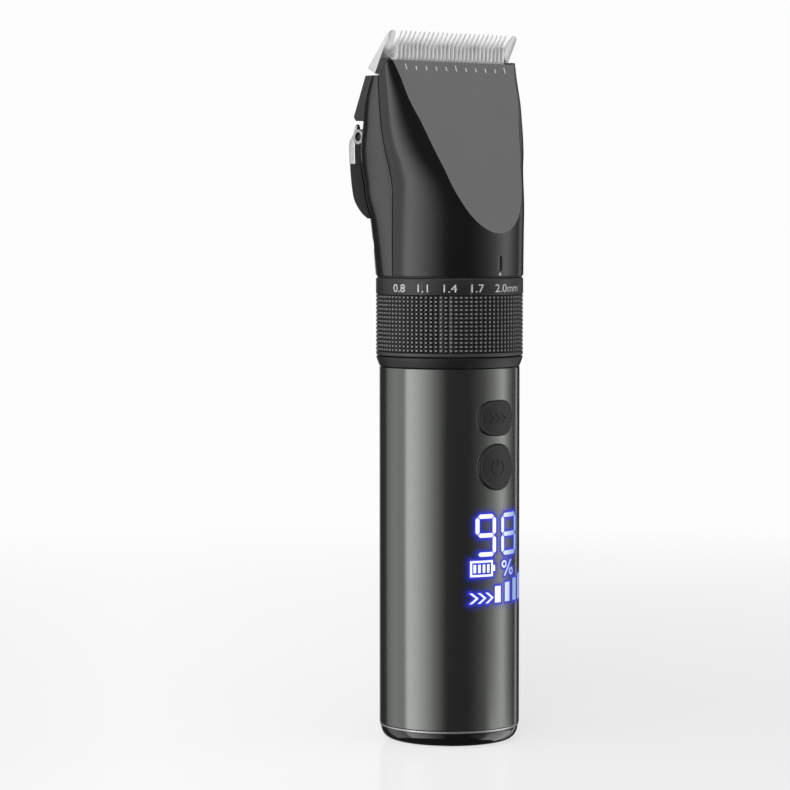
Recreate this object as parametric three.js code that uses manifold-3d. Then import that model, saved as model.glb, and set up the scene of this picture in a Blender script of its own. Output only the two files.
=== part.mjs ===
// Cordless hair clipper, standing on its base. Millimetres, +Z up, front towards -Y, blade along X.
// The origin is the centre of the flat base. Every sub-part is one closed body.
import * as THREE from 'three';
import { mergeVertices } from 'three/addons/utils/BufferGeometryUtils.js';
import Module from 'manifold-3d';

const wasm = await Module();
wasm.setup();

// ---- driving dimensions ----
const GAP = 0.3;
const LOOSE = 0.2;
const CLOSE = 0.15;
const FUSE = 0.1;
const BEYOND = 40;

// sides of round pieces, by size
const ROUND = 36;
const ROUND_MEDIUM = 28;
const ROUND_SMALL = 14;
const ROUND_TINY = 12;

const TUBE = { r: 18, wall: 1.4, z0: 4.2, z1: 95.8 };
const CAP = { baseR: 15, rimR: 17.7, rimZ: 3.5, neckR: 16.2, top: 7 };
const TRIM = { rIn: 16.5, rOut: 17.9, z0: 3.55, z1: 4.1 };
const JACK = { y: 8.5, r: 3.8, bore: 2.75, pin: 0.85, pinZ0: 1.6, z0: 1, z1: 11, floor: 10, holeTop: 9 };
const PAD = { x: 9.5, y: -1, r: 2, z0: 0.15, z1: 1.2 };
const CAP_SCREW = { x: 8, y: -9, head: 1.8, shank: 0.95, z0: 0.6, headTop: 2, z1: 10, holeTop: 9 };

const BATTERY = { y: 6.4, r: 9.1, z0: 13, z1: 77, nubR: 2.75, nubTop: 78 };
const TAB = { halfWidth: 3, y0: -3.5, y1: 10, thick: 0.4 };
const TAB_Z = { bottom: 12.3, bottomLeg: 19, top: 78.2, topLeg: 71 };
const CHASSIS = { r: 16, halfWidth: 14.9, z0: 8, z1: 90.9, floor: 2.2, lid: 1.9 };
const SPINE = { y0: -4.9, y1: -3.9 };
const CRADLE = { halfWidth: 13.5, thick: 2.5, z: [20, 66] };
const WIRE_HOLE = { r: 6, y: 5, z0: 80, z1: 100 };
const BOARD = { halfWidth: 13, y0: -7.2, y1: -5.6, z0: 13, z1: 88 };
const DISPLAY = { halfWidth: 8.3, y0: -13.8, y1: -7.5, z0: 33, z1: 62 };
const SWITCH = { half: 3, y0: -10.8, y1: -7.5, tip: -11.8, tipR: 1.6 };
const BUTTON = { r: 5.95, crown: 18.55, back: -14.2, clearance: 0.25, stemTip: -12.45, stemR: 1.6 };
const FLANGE = { halfWidth: 7.2, y0: -14.5, y1: -13.5 };
const POWER = { z: 70.9, halfHeight: 5.95 };
const TURBO = { z: 83.3, halfHeight: 4.55 };

const NECK = {
  rIn: 15.2,
  sleeveR: 16.3,
  spindleR: 16.9,
  z0: 91.5,
  flangeZ: 95.9,
  shoulderZ: 98.5,
  z1: 118.9,
};
const RING = { rIn: 17.2, r: 18.9, z0: 98.8, z1: 118.7, chamfer: 0.35 };
const DIAL = { steps: 5, stepDeg: 21.5, notchR: 0.6 };
const CAM_RISE_PER_RAD = 0.7;
const FOLLOWER = { halfWidth: 1.1, z: 106, half: 1.1, reach: 17.8 };
const GROOVE = { rIn: 16.5, r: 18.1, half: 1.35, margin: 0.1, steps: 12 };
const SLIDER = {
  halfWidth: 3,
  y0: 13.3,
  y1: 14.5,
  z0: 103,
  armZ0: 156,
  armZ1: 158,
  footY0: 5.2,
  footY1: 6.8,
  top: 160.2,
};
const SLIDER_WAY = { halfWidth: 3.6, y0: 12.6, y1: 15.3, z0: 110, z1: 122 };
const DETENT = { halfWidth: 4.5, y0: -16.5, y1: -16.1, z0: 104, z1: 109, bump: 0.5, room: 0.5 };

const MOTOR = { y: 2.5, r: 10, z0: 115.2, z1: 140.2, bossR: 3, bossTop: 141.2, bellR: 9.3, bellZ: 110.5 };
const TERMINAL = { x0: 5, x1: 5.6, halfDepth: 1.2, length: 2.5 };
const SHAFT = { r: 1, z0: 118, z1: 148.3 };
const MOUNT = { z0: 140.5, z1: 142.7, hole: 3.5, screwX: 6.5 };
const MOTOR_SCREW = { head: 1.7, headHeight: 1.2, shank: 0.8, depth: 3, hole: 0.95, holeDepth: 4 };
const CAM = { r: 4, z0: 145, z1: 149, pinR: 1.2, offset: 1.3, pinTop: 159, lid: 0.4 };

// head outline: height, half width, rear depth, front depth, front and rear superellipse exponents
const HEAD = [
  [119.2, 18.95, 18.95, 18.95, 2.0, 2.0],
  [126.0, 18.95, 18.95, 18.95, 2.02, 2.2],
  [133.0, 18.95, 18.95, 18.95, 2.05, 2.5],
  [141.0, 19.0, 19.0, 17.4, 2.25, 3.3],
  [146.0, 19.9, 18.95, 15.2, 2.4, 3.4],
  [151.0, 21.3, 18.5, 13.0, 2.5, 3.15],
  [157.0, 22.2, 17.2, 10.45, 2.6, 2.85],
  [164.0, 22.5, 15.4, 7.9, 2.7, 2.85],
  [169.6, 22.5, 11.6, 5.2, 2.7, 2.9],
  [176.0, 22.5, 7.6, 2.1, 2.7, 3.0],
];
const HEAD_LEVEL_STEP = 4.6;
const HEAD_SIDES = 36;
const HEAD_BOTTOM = 119.2;
const HEAD_TOP = 176;
const SHELL_WALL = 1.7;
const SHELL_FLOOR = 120.8;
const SPIGOT = { rIn: 13.2, rOut: 14.7, z0: 112 };
const SLOPE = { frontY: -1.74, frontZ: 173.4, backY: 2.2, backZ: 169.6 };
const SEAM = { bottomY: 0.5, midZ: 150, midY: 0.8 };
const PANEL = { tipY: -19, tipZ: 129.5, tiltDeg: 21.5, thick: 0.8, seat: 1, inner: 2.5 };
const BLADE_POCKET = { halfWidth: 21, y0: -0.95, y1: 6, z0: 164, z1: 180 };
const SHELL_SCREW = {
  x: 14.2,
  z: 127,
  pillar: 2.4,
  pillarY: 12,
  head: 1.9,
  headY: 7,
  headEnd: 8.4,
  shank: 0.95,
  tipY: -6,
};

const PIVOT = { y: 16.4, z: 154.5, pinR: 0.95, holeR: 1.1, eyeR: 1.95 };
const PIVOT_PIN = { x0: 12.7, x1: 17.1, clear: 19 };
const LUG = { x0: 13, x1: 15.1, half: 1.6, y0: 12.6 };
const LEVER = { halfWidth: 16.6, crown: 2.6, wall: 1.4, earX0: 15.3 };
const LEVER_EDGE = [
  [133.6, 12.9],
  [135.1, 15.4],
  [139, 18.5],
  [144.3, 19.6],
  [147, 19.9],
  [151.5, 20.1],
  [153.2, 20],
  [154.2, 19.3],
];
const STRIP = { z0: 147.6, z1: 154.4, thick: 0.6, armX0: 15.3, armTop: 157.7 };
const STRIP_EDGE_ENDS = { bottom: [[140, 19]], top: [[155.4, 18.2], [158.2, 17.6]] };
const COVER = { halfWidth: 18, crown: 2.4, edge: [[158.5, 15.9], [159.5, 16.7], [169.9, 12.1]] };

// blade frame: origin at the heel of the sliding plane, +Y up along the teeth, +Z out towards the front
const BLADE = { y: 3.9, z: 169.9, leanDeg: 28.5 };
const FIXED = {
  halfWidth: 22.1,
  tip: 12.3,
  root: 6.2,
  bottom: -1,
  teeth: 24,
  pitch: 1.56,
  tooth: 0.8,
  endTooth: 3,
};
const FIXED_WEDGE = [[0.1, -3], [-0.2, 0], [12.3, 0], [12.3, -0.25]];
const END_TOOTH = { taper: 0.9, chamfer: 0.8 };
const TIP_RATIO = 0.6;
const FIXED_PLATE = { halfWidth: 16, bottom: -9.5, top: 0.5, thick: 1.3 };
const MOVING = {
  halfWidth: 19.3,
  tip: 9.04,
  root: 5.1,
  bottom: 1.8,
  thick: 2.2,
  tipThick: 0.3,
  teeth: 28,
  pitch: 1.35,
  tooth: 0.72,
};
const MOVING_TAIL = { halfWidth: 12, bottom: -1.9, thick: 1.5 };
const BLADE_GAP = 0.1;
const BLADE_SCREW = { x: 6, u: -3.7, head: 1.6, headTop: 1.2, shank: 0.95, depth: -3.5 };
const CARRIER = { back: -4, front: -1.7, low: -9.8, lowHalf: 12, mid: -4, top: -0.8, side: 20.3 };
const EAR = { x0: 13.6, x1: 22, low: -2.6, innerTop: -0.5, n0: 0.35 };
const CHEEK = { x0: 20.8, x1: 22, z0: 170.2, z1: 173.9, backY: [2.5, 2.9] };
const CHEEK_FRONT = [[-1.15, 173.35], [-0.95, 173.9]];
const YOKE = { halfWidth: 6, slot: 3.9, y0: 1.6, y1: 3.4, z0: 154.5, webZ: 160.5, top: 167.5 };
const CLAMP = { top: 0.9, n1: 3.3 };
const CARRIAGE = { x0: 9, x1: 16, low: -8.9, bar: -7, top: -4.1, n0: 0.35, n1: 2.6 };
const SPRING = { r: 0.4, x: 10.5, tip: 2.6, n: 2.78, bendX: 8.5, steps: 22 };
const HINGE = { y: 8.8, z: 169.2, r: 0.9, halfWidth: 8 };

// ---- solids ----
function signedVolume(geometry) {
  const p = geometry.attributes.position;
  const index = geometry.index;
  const a = new THREE.Vector3();
  const b = new THREE.Vector3();
  const c = new THREE.Vector3();
  let sum = 0;
  for (let i = 0; i < index.count; i += 3) {
    a.fromBufferAttribute(p, index.getX(i));
    b.fromBufferAttribute(p, index.getX(i + 1));
    c.fromBufferAttribute(p, index.getX(i + 2));
    sum += a.dot(b.cross(c));
  }
  return sum / 6;
}

function solid(geometry) {
  const bare = geometry.clone();
  bare.deleteAttribute('normal');
  bare.deleteAttribute('uv');
  const merged = mergeVertices(bare, 1e-4);
  const triVerts = new Uint32Array(merged.index.array);
  if (signedVolume(merged) < 0) {
    triVerts.reverse();
  }
  const vertProperties = new Float32Array(merged.attributes.position.array);
  return new wasm.Manifold(new wasm.Mesh({ numProp: 3, vertProperties, triVerts }));
}

function geometryOf(body) {
  const mesh = body.getMesh();
  const geometry = new THREE.BufferGeometry();
  geometry.setAttribute('position', new THREE.BufferAttribute(new Float32Array(mesh.vertProperties), 3));
  geometry.setIndex(new THREE.BufferAttribute(new Uint32Array(mesh.triVerts), 1));
  geometry.computeVertexNormals();
  return geometry;
}

function join(...bodies) {
  return bodies.reduce((all, body) => all.add(body));
}

function cut(body, ...tools) {
  return tools.reduce((rest, tool) => rest.subtract(tool), body);
}

function box(x0, x1, y0, y1, z0, z1) {
  const geometry = new THREE.BoxGeometry(x1 - x0, y1 - y0, z1 - z0);
  geometry.translate((x0 + x1) / 2, (y0 + y1) / 2, (z0 + z1) / 2);
  return solid(geometry);
}

// the same box on both sides of the X = 0 plane
function pair(x0, x1, y0, y1, z0, z1) {
  return join(box(x0, x1, y0, y1, z0, z1), box(-x1, -x0, y0, y1, z0, z1));
}

function revolve(profile, segments = ROUND) {
  const points = profile.map(([r, z]) => new THREE.Vector2(r, z));
  const geometry = new THREE.LatheGeometry(points, segments);
  geometry.rotateX(Math.PI / 2);
  return solid(geometry);
}

function hoop(rIn, rOut, z0, z1) {
  return revolve([[rIn, z0], [rOut, z0], [rOut, z1], [rIn, z1], [rIn, z0]]);
}

function rodZ(r, z0, z1, x = 0, y = 0, segments = ROUND_SMALL) {
  const geometry = new THREE.CylinderGeometry(r, r, z1 - z0, segments);
  geometry.rotateX(Math.PI / 2);
  geometry.translate(x, y, (z0 + z1) / 2);
  return solid(geometry);
}

function rodY(r, y0, y1, x, z, segments = ROUND_TINY) {
  const geometry = new THREE.CylinderGeometry(r, r, y1 - y0, segments);
  geometry.translate(x, (y0 + y1) / 2, z);
  return solid(geometry);
}

function rodX(r, x0, x1, y, z, segments = ROUND_SMALL) {
  const geometry = new THREE.CylinderGeometry(r, r, x1 - x0, segments);
  geometry.rotateZ(Math.PI / 2);
  geometry.translate((x0 + x1) / 2, y, z);
  return solid(geometry);
}

// a side outline in (Y, Z), extruded along X
function prism(outline, x0, x1) {
  const shape = new THREE.Shape(outline.map(([y, z]) => new THREE.Vector2(y, z)));
  const geometry = new THREE.ExtrudeGeometry(shape, { depth: x1 - x0, bevelEnabled: false });
  const turn = new THREE.Matrix4().makeBasis(
    new THREE.Vector3(0, 1, 0),
    new THREE.Vector3(0, 0, 1),
    new THREE.Vector3(1, 0, 0),
  );
  geometry.applyMatrix4(turn);
  geometry.translate(x0, 0, 0);
  return solid(geometry);
}

function prismPair(outline, x0, x1) {
  return join(prism(outline, x0, x1), prism(outline, -x1, -x0));
}

// an outline in (X, Y), extruded along Z
function slab(outline, z0, z1) {
  const shape = new THREE.Shape(outline.map(([x, y]) => new THREE.Vector2(x, y)));
  const geometry = new THREE.ExtrudeGeometry(shape, { depth: z1 - z0, bevelEnabled: false });
  geometry.translate(0, 0, z0);
  return solid(geometry);
}

// skins a stack of closed rings, each an array of [x, y, z], and closes both ends with a fan
function loft(rings) {
  const sides = rings[0].length;
  const points = rings.flat(2);
  const faces = [];
  for (let level = 0; level + 1 < rings.length; level += 1) {
    for (let i = 0; i < sides; i += 1) {
      const a = level * sides + i;
      const b = level * sides + (i + 1) % sides;
      faces.push(a, b, b + sides, a, b + sides, a + sides);
    }
  }
  const closeEnd = (ring, offset, flip) => {
    const centre = points.length / 3;
    const middle = [0, 1, 2].map((k) => ring.reduce((sum, point) => sum + point[k], 0) / sides);
    points.push(...middle);
    for (let i = 0; i < sides; i += 1) {
      const a = offset + i;
      const b = offset + (i + 1) % sides;
      faces.push(...(flip ? [b, a, centre] : [a, b, centre]));
    }
  };
  closeEnd(rings[0], 0, true);
  closeEnd(rings[rings.length - 1], (rings.length - 1) * sides, false);
  const geometry = new THREE.BufferGeometry();
  geometry.setAttribute('position', new THREE.Float32BufferAttribute(points, 3));
  geometry.setIndex(faces);
  return solid(geometry);
}

// ---- head form ----
// smooth interpolation through one column of the head table, without overshoot
function headValue(z, column) {
  const rows = HEAD;
  const last = rows.length - 1;
  const clamped = Math.min(Math.max(z, rows[0][0]), rows[last][0]);
  const k = Math.min(rows.findIndex((row, i) => i === last || clamped <= rows[i + 1][0]), last - 1);
  const secant = (i) => (rows[i + 1][column] - rows[i][column]) / (rows[i + 1][0] - rows[i][0]);
  const slope = (i) => {
    const below = secant(Math.max(i - 1, 0));
    const above = secant(Math.min(i, last - 1));
    return below * above > 0 ? (2 * below * above) / (below + above) : 0;
  };
  const span = rows[k + 1][0] - rows[k][0];
  const t = (clamped - rows[k][0]) / span;
  const t2 = t * t;
  const t3 = t2 * t;
  return (2 * t3 - 3 * t2 + 1) * rows[k][column] + (t3 - 2 * t2 + t) * span * slope(k)
    + (3 * t2 - 2 * t3) * rows[k + 1][column] + (t3 - t2) * span * slope(k + 1);
}

function headRing(z, inset) {
  const columns = [1, 2, 3, 4, 5];
  const [halfWidth, rear, front, frontPower, rearPower] = columns.map((column) => headValue(z, column));
  return Array.from({ length: HEAD_SIDES }, (_, i) => {
    const angle = (2 * Math.PI * (i + 0.5)) / HEAD_SIDES;
    const c = Math.cos(angle);
    const s = Math.sin(angle);
    const depth = (s > 0 ? rear : front) - inset;
    const power = s > 0 ? rearPower : frontPower;
    const x = (halfWidth - inset) * Math.sign(c) * Math.abs(c) ** (2 / power);
    const y = depth * Math.sign(s) * Math.abs(s) ** (2 / power);
    return [x, y, z];
  });
}

function headForm(inset, z0, z1) {
  const levels = Math.max(2, Math.ceil((z1 - z0) / HEAD_LEVEL_STEP));
  const step = (z1 - z0) / levels;
  return loft(Array.from({ length: levels + 1 }, (_, i) => headRing(z0 + step * i, inset)));
}

// everything in front of the flat of the head, moved outwards by the offset
function aheadOfPanel(offset) {
  const geometry = new THREE.BoxGeometry(2 * BEYOND, 4 * BEYOND, 2 * BEYOND);
  geometry.translate(0, BEYOND, BEYOND + offset);
  geometry.rotateX(THREE.MathUtils.degToRad(90 - PANEL.tiltDeg));
  geometry.translate(0, PANEL.tipY, PANEL.tipZ);
  return solid(geometry);
}

const aboveHead = prism([
  [-BEYOND, SLOPE.frontZ],
  [SLOPE.frontY, SLOPE.frontZ],
  [SLOPE.backY, SLOPE.backZ],
  [BEYOND, SLOPE.backZ],
  [BEYOND, HEAD_TOP + BEYOND],
  [-BEYOND, HEAD_TOP + BEYOND],
], -BEYOND, BEYOND);

function seamSide(front) {
  const shift = front ? -GAP / 2 : GAP / 2;
  const far = front ? -BEYOND : BEYOND;
  const bottom = SPIGOT.z0 - BEYOND;
  return prism([
    [far, bottom],
    [SEAM.bottomY + shift, bottom],
    [SEAM.midY + shift, SEAM.midZ],
    [SLOPE.backY + shift, SLOPE.backZ],
    [SLOPE.backY + shift, HEAD_TOP + BEYOND],
    [far, HEAD_TOP + BEYOND],
  ], -BEYOND, BEYOND);
}

function mirrored(make) {
  return join(make(1), make(-1));
}

const head = headForm(0, HEAD_BOTTOM, HEAD_TOP);

const hollowHead = (() => {
  const room = cut(headForm(SHELL_WALL, SHELL_FLOOR, HEAD_TOP), aheadOfPanel(-PANEL.inner));
  const pocket = box(
    -BLADE_POCKET.halfWidth, BLADE_POCKET.halfWidth,
    BLADE_POCKET.y0, BLADE_POCKET.y1,
    BLADE_POCKET.z0, BLADE_POCKET.z1,
  );
  const lugs = mirrored((side) => {
    const x0 = side > 0 ? LUG.x0 : -LUG.x1;
    const x1 = side > 0 ? LUG.x1 : -LUG.x0;
    return join(
      box(x0, x1, LUG.y0, PIVOT.y, PIVOT.z - LUG.half, PIVOT.z + LUG.half),
      rodX(LUG.half, x0, x1, PIVOT.y, PIVOT.z),
    );
  });
  const spigot = hoop(SPIGOT.rIn, SPIGOT.rOut, SPIGOT.z0, SHELL_FLOOR);
  const screwRod = (r, y0, y1) => mirrored((side) => {
    return rodY(r, y0, y1, side * SHELL_SCREW.x, SHELL_SCREW.z);
  });
  const pivotRod = (r, x0, x1) => mirrored((side) => {
    const span = [x0, x1].map((x) => side * x).sort((a, b) => a - b);
    return rodX(r, ...span, PIVOT.y, PIVOT.z);
  });
  const pillars = screwRod(SHELL_SCREW.pillar, -SHELL_SCREW.pillarY, SHELL_SCREW.pillarY);
  const throat = rodZ(SPIGOT.rIn, SPIGOT.z0 - GAP, SHELL_FLOOR + GAP, 0, 0, ROUND);
  const walls = cut(join(head, lugs), room, pocket, throat);
  return cut(
    join(walls, spigot, pillars.intersect(headForm(GAP, HEAD_BOTTOM, HEAD_TOP))),
    aboveHead,
    aheadOfPanel(-PANEL.seat),
    box(
      -SLIDER_WAY.halfWidth, SLIDER_WAY.halfWidth,
      SLIDER_WAY.y0, SLIDER_WAY.y1,
      SLIDER_WAY.z0, SLIDER_WAY.z1,
    ),
    screwRod(SHELL_SCREW.shank + CLOSE, SHELL_SCREW.tipY - 1, SHELL_SCREW.pillarY),
    screwRod(SHELL_SCREW.head + LOOSE, SHELL_SCREW.headY, BEYOND),
    pivotRod(PIVOT.holeR, PIVOT_PIN.x0 - LOOSE, PIVOT_PIN.clear),
    pivotRod(PIVOT.eyeR + GAP, LUG.x1, PIVOT_PIN.clear),
  );
})();

// a block behind the head whose outer face is crowned, from Y = 0 out to the edge line;
// trimX and trimY take material off its sides and off its outer face
function crownedBlock(edge, { halfWidth, crown }, trimX = 0, trimY = 0) {
  const steps = 10;
  const w = halfWidth - trimX;
  return loft(edge.map(([z, edgeY]) => {
    const ring = [[-w, 0, z], [w, 0, z]];
    for (let i = 0; i <= steps; i += 1) {
      const x = w * (1 - (2 * i) / steps);
      ring.push([x, edgeY - trimY + crown * (1 - (x / halfWidth) ** 2), z]);
    }
    return ring;
  }));
}

// ---- materials ----
function material(color, roughness, metalness) {
  return new THREE.MeshStandardMaterial({ color, roughness, metalness });
}

const looks = {
  gloss: material(0x0d0d0e, 0.2, 0),
  tube: material(0x4a4e4a, 0.25, 0.8),
  black: material(0x161617, 0.45, 0),
  panel: material(0x686868, 0.6, 0),
  rubber: material(0x1d1e20, 0.7, 0),
  chrome: material(0xd8d8da, 0.12, 1),
  steel: material(0xb8babb, 0.3, 1),
  brass: material(0xc4a25a, 0.35, 1),
  board: material(0x1e4a30, 0.5, 0),
  plastic: material(0xcfcfca, 0.6, 0),
  wrap: material(0x2c5c9c, 0.5, 0),
  lit: material(0xdfe8ff, 0.3, 0),
};

const model = new THREE.Group();
const bladeFrame = new THREE.Group();
bladeFrame.position.set(0, BLADE.y, BLADE.z);
bladeFrame.rotation.x = THREE.MathUtils.degToRad(90 + BLADE.leanDeg);
bladeFrame.updateMatrix();
model.add(bladeFrame);

function add(name, body, look, parent = model) {
  const mesh = new THREE.Mesh(geometryOf(body), look);
  mesh.name = name;
  parent.add(mesh);
  return mesh;
}

function addBlade(name, body, look) {
  return add(name, body, look, bladeFrame);
}

// a body given in the model's own axes, turned into the blade frame
function intoBladeFrame(body) {
  const geometry = geometryOf(body);
  geometry.applyMatrix4(bladeFrame.matrix.clone().invert());
  return solid(geometry);
}

// ---- base ----
function makeBase() {
  const rim = Array.from({ length: 5 }, (_, i) => {
    const angle = (Math.PI / 2) * (i / 4);
    const r = CAP.baseR + (CAP.rimR - CAP.baseR) * Math.sin(angle);
    return [r, CAP.rimZ * (1 - Math.cos(angle))];
  });
  const plug = [[CAP.neckR, CAP.rimZ], [CAP.neckR, CAP.top], [0, CAP.top]];
  const screws = [1, -1].map((side) => [side * CAP_SCREW.x, CAP_SCREW.y]);
  let cap = revolve([[0, 0], ...rim, ...plug]);
  cap = cut(cap, rodZ(JACK.r + LOOSE, -1, JACK.holeTop, 0, JACK.y));
  for (const side of [1, -1]) {
    cap = cut(cap, rodZ(PAD.r + CLOSE, -1, PAD.z1 + LOOSE, side * PAD.x, PAD.y));
  }
  for (const [x, y] of screws) {
    cap = cut(cap, rodZ(CAP_SCREW.head + LOOSE, -1, CAP_SCREW.headTop + FUSE, x, y));
    cap = cut(cap, rodZ(CAP_SCREW.shank + CLOSE, 0, CAP_SCREW.holeTop, x, y));
  }
  add('end_cap', cap, looks.gloss);
  add('trim_ring', hoop(TRIM.rIn, TRIM.rOut, TRIM.z0, TRIM.z1), looks.chrome);

  const socket = cut(rodZ(JACK.r, JACK.z0, JACK.z1), rodZ(JACK.bore, 0, JACK.floor));
  const jack = join(socket, rodZ(JACK.pin, JACK.pinZ0, JACK.floor + FUSE, 0, 0, ROUND_TINY));
  add('charging_jack', jack, looks.black).position.set(0, JACK.y, 0);

  for (const [name, side] of [['contact_pad_right', 1], ['contact_pad_left', -1]]) {
    add(name, rodZ(PAD.r, PAD.z0, PAD.z1), looks.brass).position.set(side * PAD.x, PAD.y, 0);
  }
  screws.forEach(([x, y], i) => {
    const head = rodZ(CAP_SCREW.head, CAP_SCREW.z0, CAP_SCREW.headTop);
    const shank = rodZ(CAP_SCREW.shank, CAP_SCREW.headTop - FUSE, CAP_SCREW.z1, 0, 0, ROUND_TINY);
    const name = ['cap_screw_right', 'cap_screw_left'][i];
    add(name, join(head, shank), looks.steel).position.set(x, y, 0);
  });
}

// ---- handle ----
function buttonForm(halfHeight, grow, y0, y1, z) {
  const round = rodY(BUTTON.r + grow, y0, y1, 0, z, ROUND_MEDIUM);
  const half = halfHeight + grow;
  return round.intersect(box(-BEYOND, BEYOND, y0 - 1, y1 + 1, z - half, z + half));
}

function makeHandle() {
  let tube = hoop(TUBE.r - TUBE.wall, TUBE.r, TUBE.z0, TUBE.z1);
  const buttons = [['power', POWER], ['turbo', TURBO]];
  for (const [, spot] of buttons) {
    tube = cut(tube, buttonForm(spot.halfHeight, BUTTON.clearance, -BEYOND, BUTTON.back + 1, spot.z));
  }
  add('body_tube', tube, looks.tube);

  for (const [name, spot] of buttons) {
    const low = spot.z - spot.halfHeight;
    const high = spot.z + spot.halfHeight;
    const face = buttonForm(spot.halfHeight, 0, -BEYOND, BUTTON.back, spot.z)
      .intersect(rodZ(BUTTON.crown, low - 1, high + 1, 0, 0, ROUND));
    const flange = box(-FLANGE.halfWidth, FLANGE.halfWidth, FLANGE.y0, FLANGE.y1, low, high);
    const stem = rodY(BUTTON.stemR, FLANGE.y1 - FUSE, BUTTON.stemTip, 0, spot.z);
    add(`${name}_button`, join(face, flange, stem), looks.rubber);

    const body = box(-SWITCH.half, SWITCH.half, SWITCH.y0, SWITCH.y1, -SWITCH.half, SWITCH.half);
    const plunger = rodY(SWITCH.tipR, SWITCH.tip, SWITCH.y0 + FUSE, 0, 0);
    add(`${name}_switch`, join(body, plunger), looks.black).position.z = spot.z;
  }
}

// ---- inside the handle ----
function makeInsides() {
  const { r, z0, z1 } = CHASSIS;
  const spine = box(-CHASSIS.halfWidth, CHASSIS.halfWidth, SPINE.y0, SPINE.y1, z0, z1);
  const cradle = (z) => cut(
    box(-CRADLE.halfWidth, CRADLE.halfWidth, SPINE.y1 - FUSE, BATTERY.y, z, z + CRADLE.thick),
    rodZ(BATTERY.r + GAP, z - 1, z + CRADLE.thick + 1, 0, BATTERY.y, ROUND_MEDIUM),
  );
  const chassis = cut(
    join(
      rodZ(r, z0, z0 + CHASSIS.floor, 0, 0, ROUND),
      rodZ(r, z1 - CHASSIS.lid, z1, 0, 0, ROUND),
      spine,
      ...CRADLE.z.map(cradle),
    ),
    rodZ(JACK.r + LOOSE, z0 - 1, JACK.z1 + 1, 0, JACK.y),
    rodZ(WIRE_HOLE.r, WIRE_HOLE.z0, WIRE_HOLE.z1, 0, WIRE_HOLE.y),
    mirrored((side) => {
      const hole = CAP_SCREW.shank + CLOSE;
      return rodZ(hole, z0 - 1, CAP_SCREW.z1 + 1, side * CAP_SCREW.x, CAP_SCREW.y);
    }),
  );
  add('inner_chassis', chassis, looks.plastic);

  const cell = join(
    rodZ(BATTERY.r, BATTERY.z0, BATTERY.z1, 0, 0, ROUND_MEDIUM),
    rodZ(BATTERY.nubR, BATTERY.z1 - FUSE, BATTERY.nubTop),
  );
  add('battery_cell', cell, looks.wrap).position.y = BATTERY.y;

  const tab = (z, legZ0, legZ1) => join(
    box(-TAB.halfWidth, TAB.halfWidth, TAB.y0, TAB.y1, z, z + TAB.thick),
    box(-TAB.halfWidth, TAB.halfWidth, TAB.y0, TAB.y0 + TAB.thick, legZ0, legZ1),
  );
  add('battery_tab_bottom', tab(TAB_Z.bottom, TAB_Z.bottom, TAB_Z.bottomLeg), looks.steel);
  add('battery_tab_top', tab(TAB_Z.top, TAB_Z.topLeg, TAB_Z.top + TAB.thick), looks.steel);

  const plateOf = (size) => box(-size.halfWidth, size.halfWidth, size.y0, size.y1, size.z0, size.z1);
  add('circuit_board', plateOf(BOARD), looks.board);
  add('display_module', plateOf(DISPLAY), looks.lit);
}

// ---- neck and adjusting ring ----
const dialTurn = THREE.MathUtils.degToRad(DIAL.stepDeg * (DIAL.steps - 1));

function helicalGroove() {
  const points = Array.from({ length: GROOVE.steps + 1 }, (_, i) => {
    const travel = -GROOVE.margin + ((dialTurn + 2 * GROOVE.margin) * i) / GROOVE.steps;
    const angle = Math.PI / 2 - travel;
    const z = FOLLOWER.z + CAM_RISE_PER_RAD * travel;
    return { angle, z };
  });
  return loft(points.map(({ angle, z }) => {
    const ring = [[GROOVE.rIn, -1], [GROOVE.r, -1], [GROOVE.r, 1], [GROOVE.rIn, 1]];
    return ring.map(([radius, side]) => [
      radius * Math.cos(angle),
      radius * Math.sin(angle),
      z + side * GROOVE.half,
    ]);
  }));
}

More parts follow.
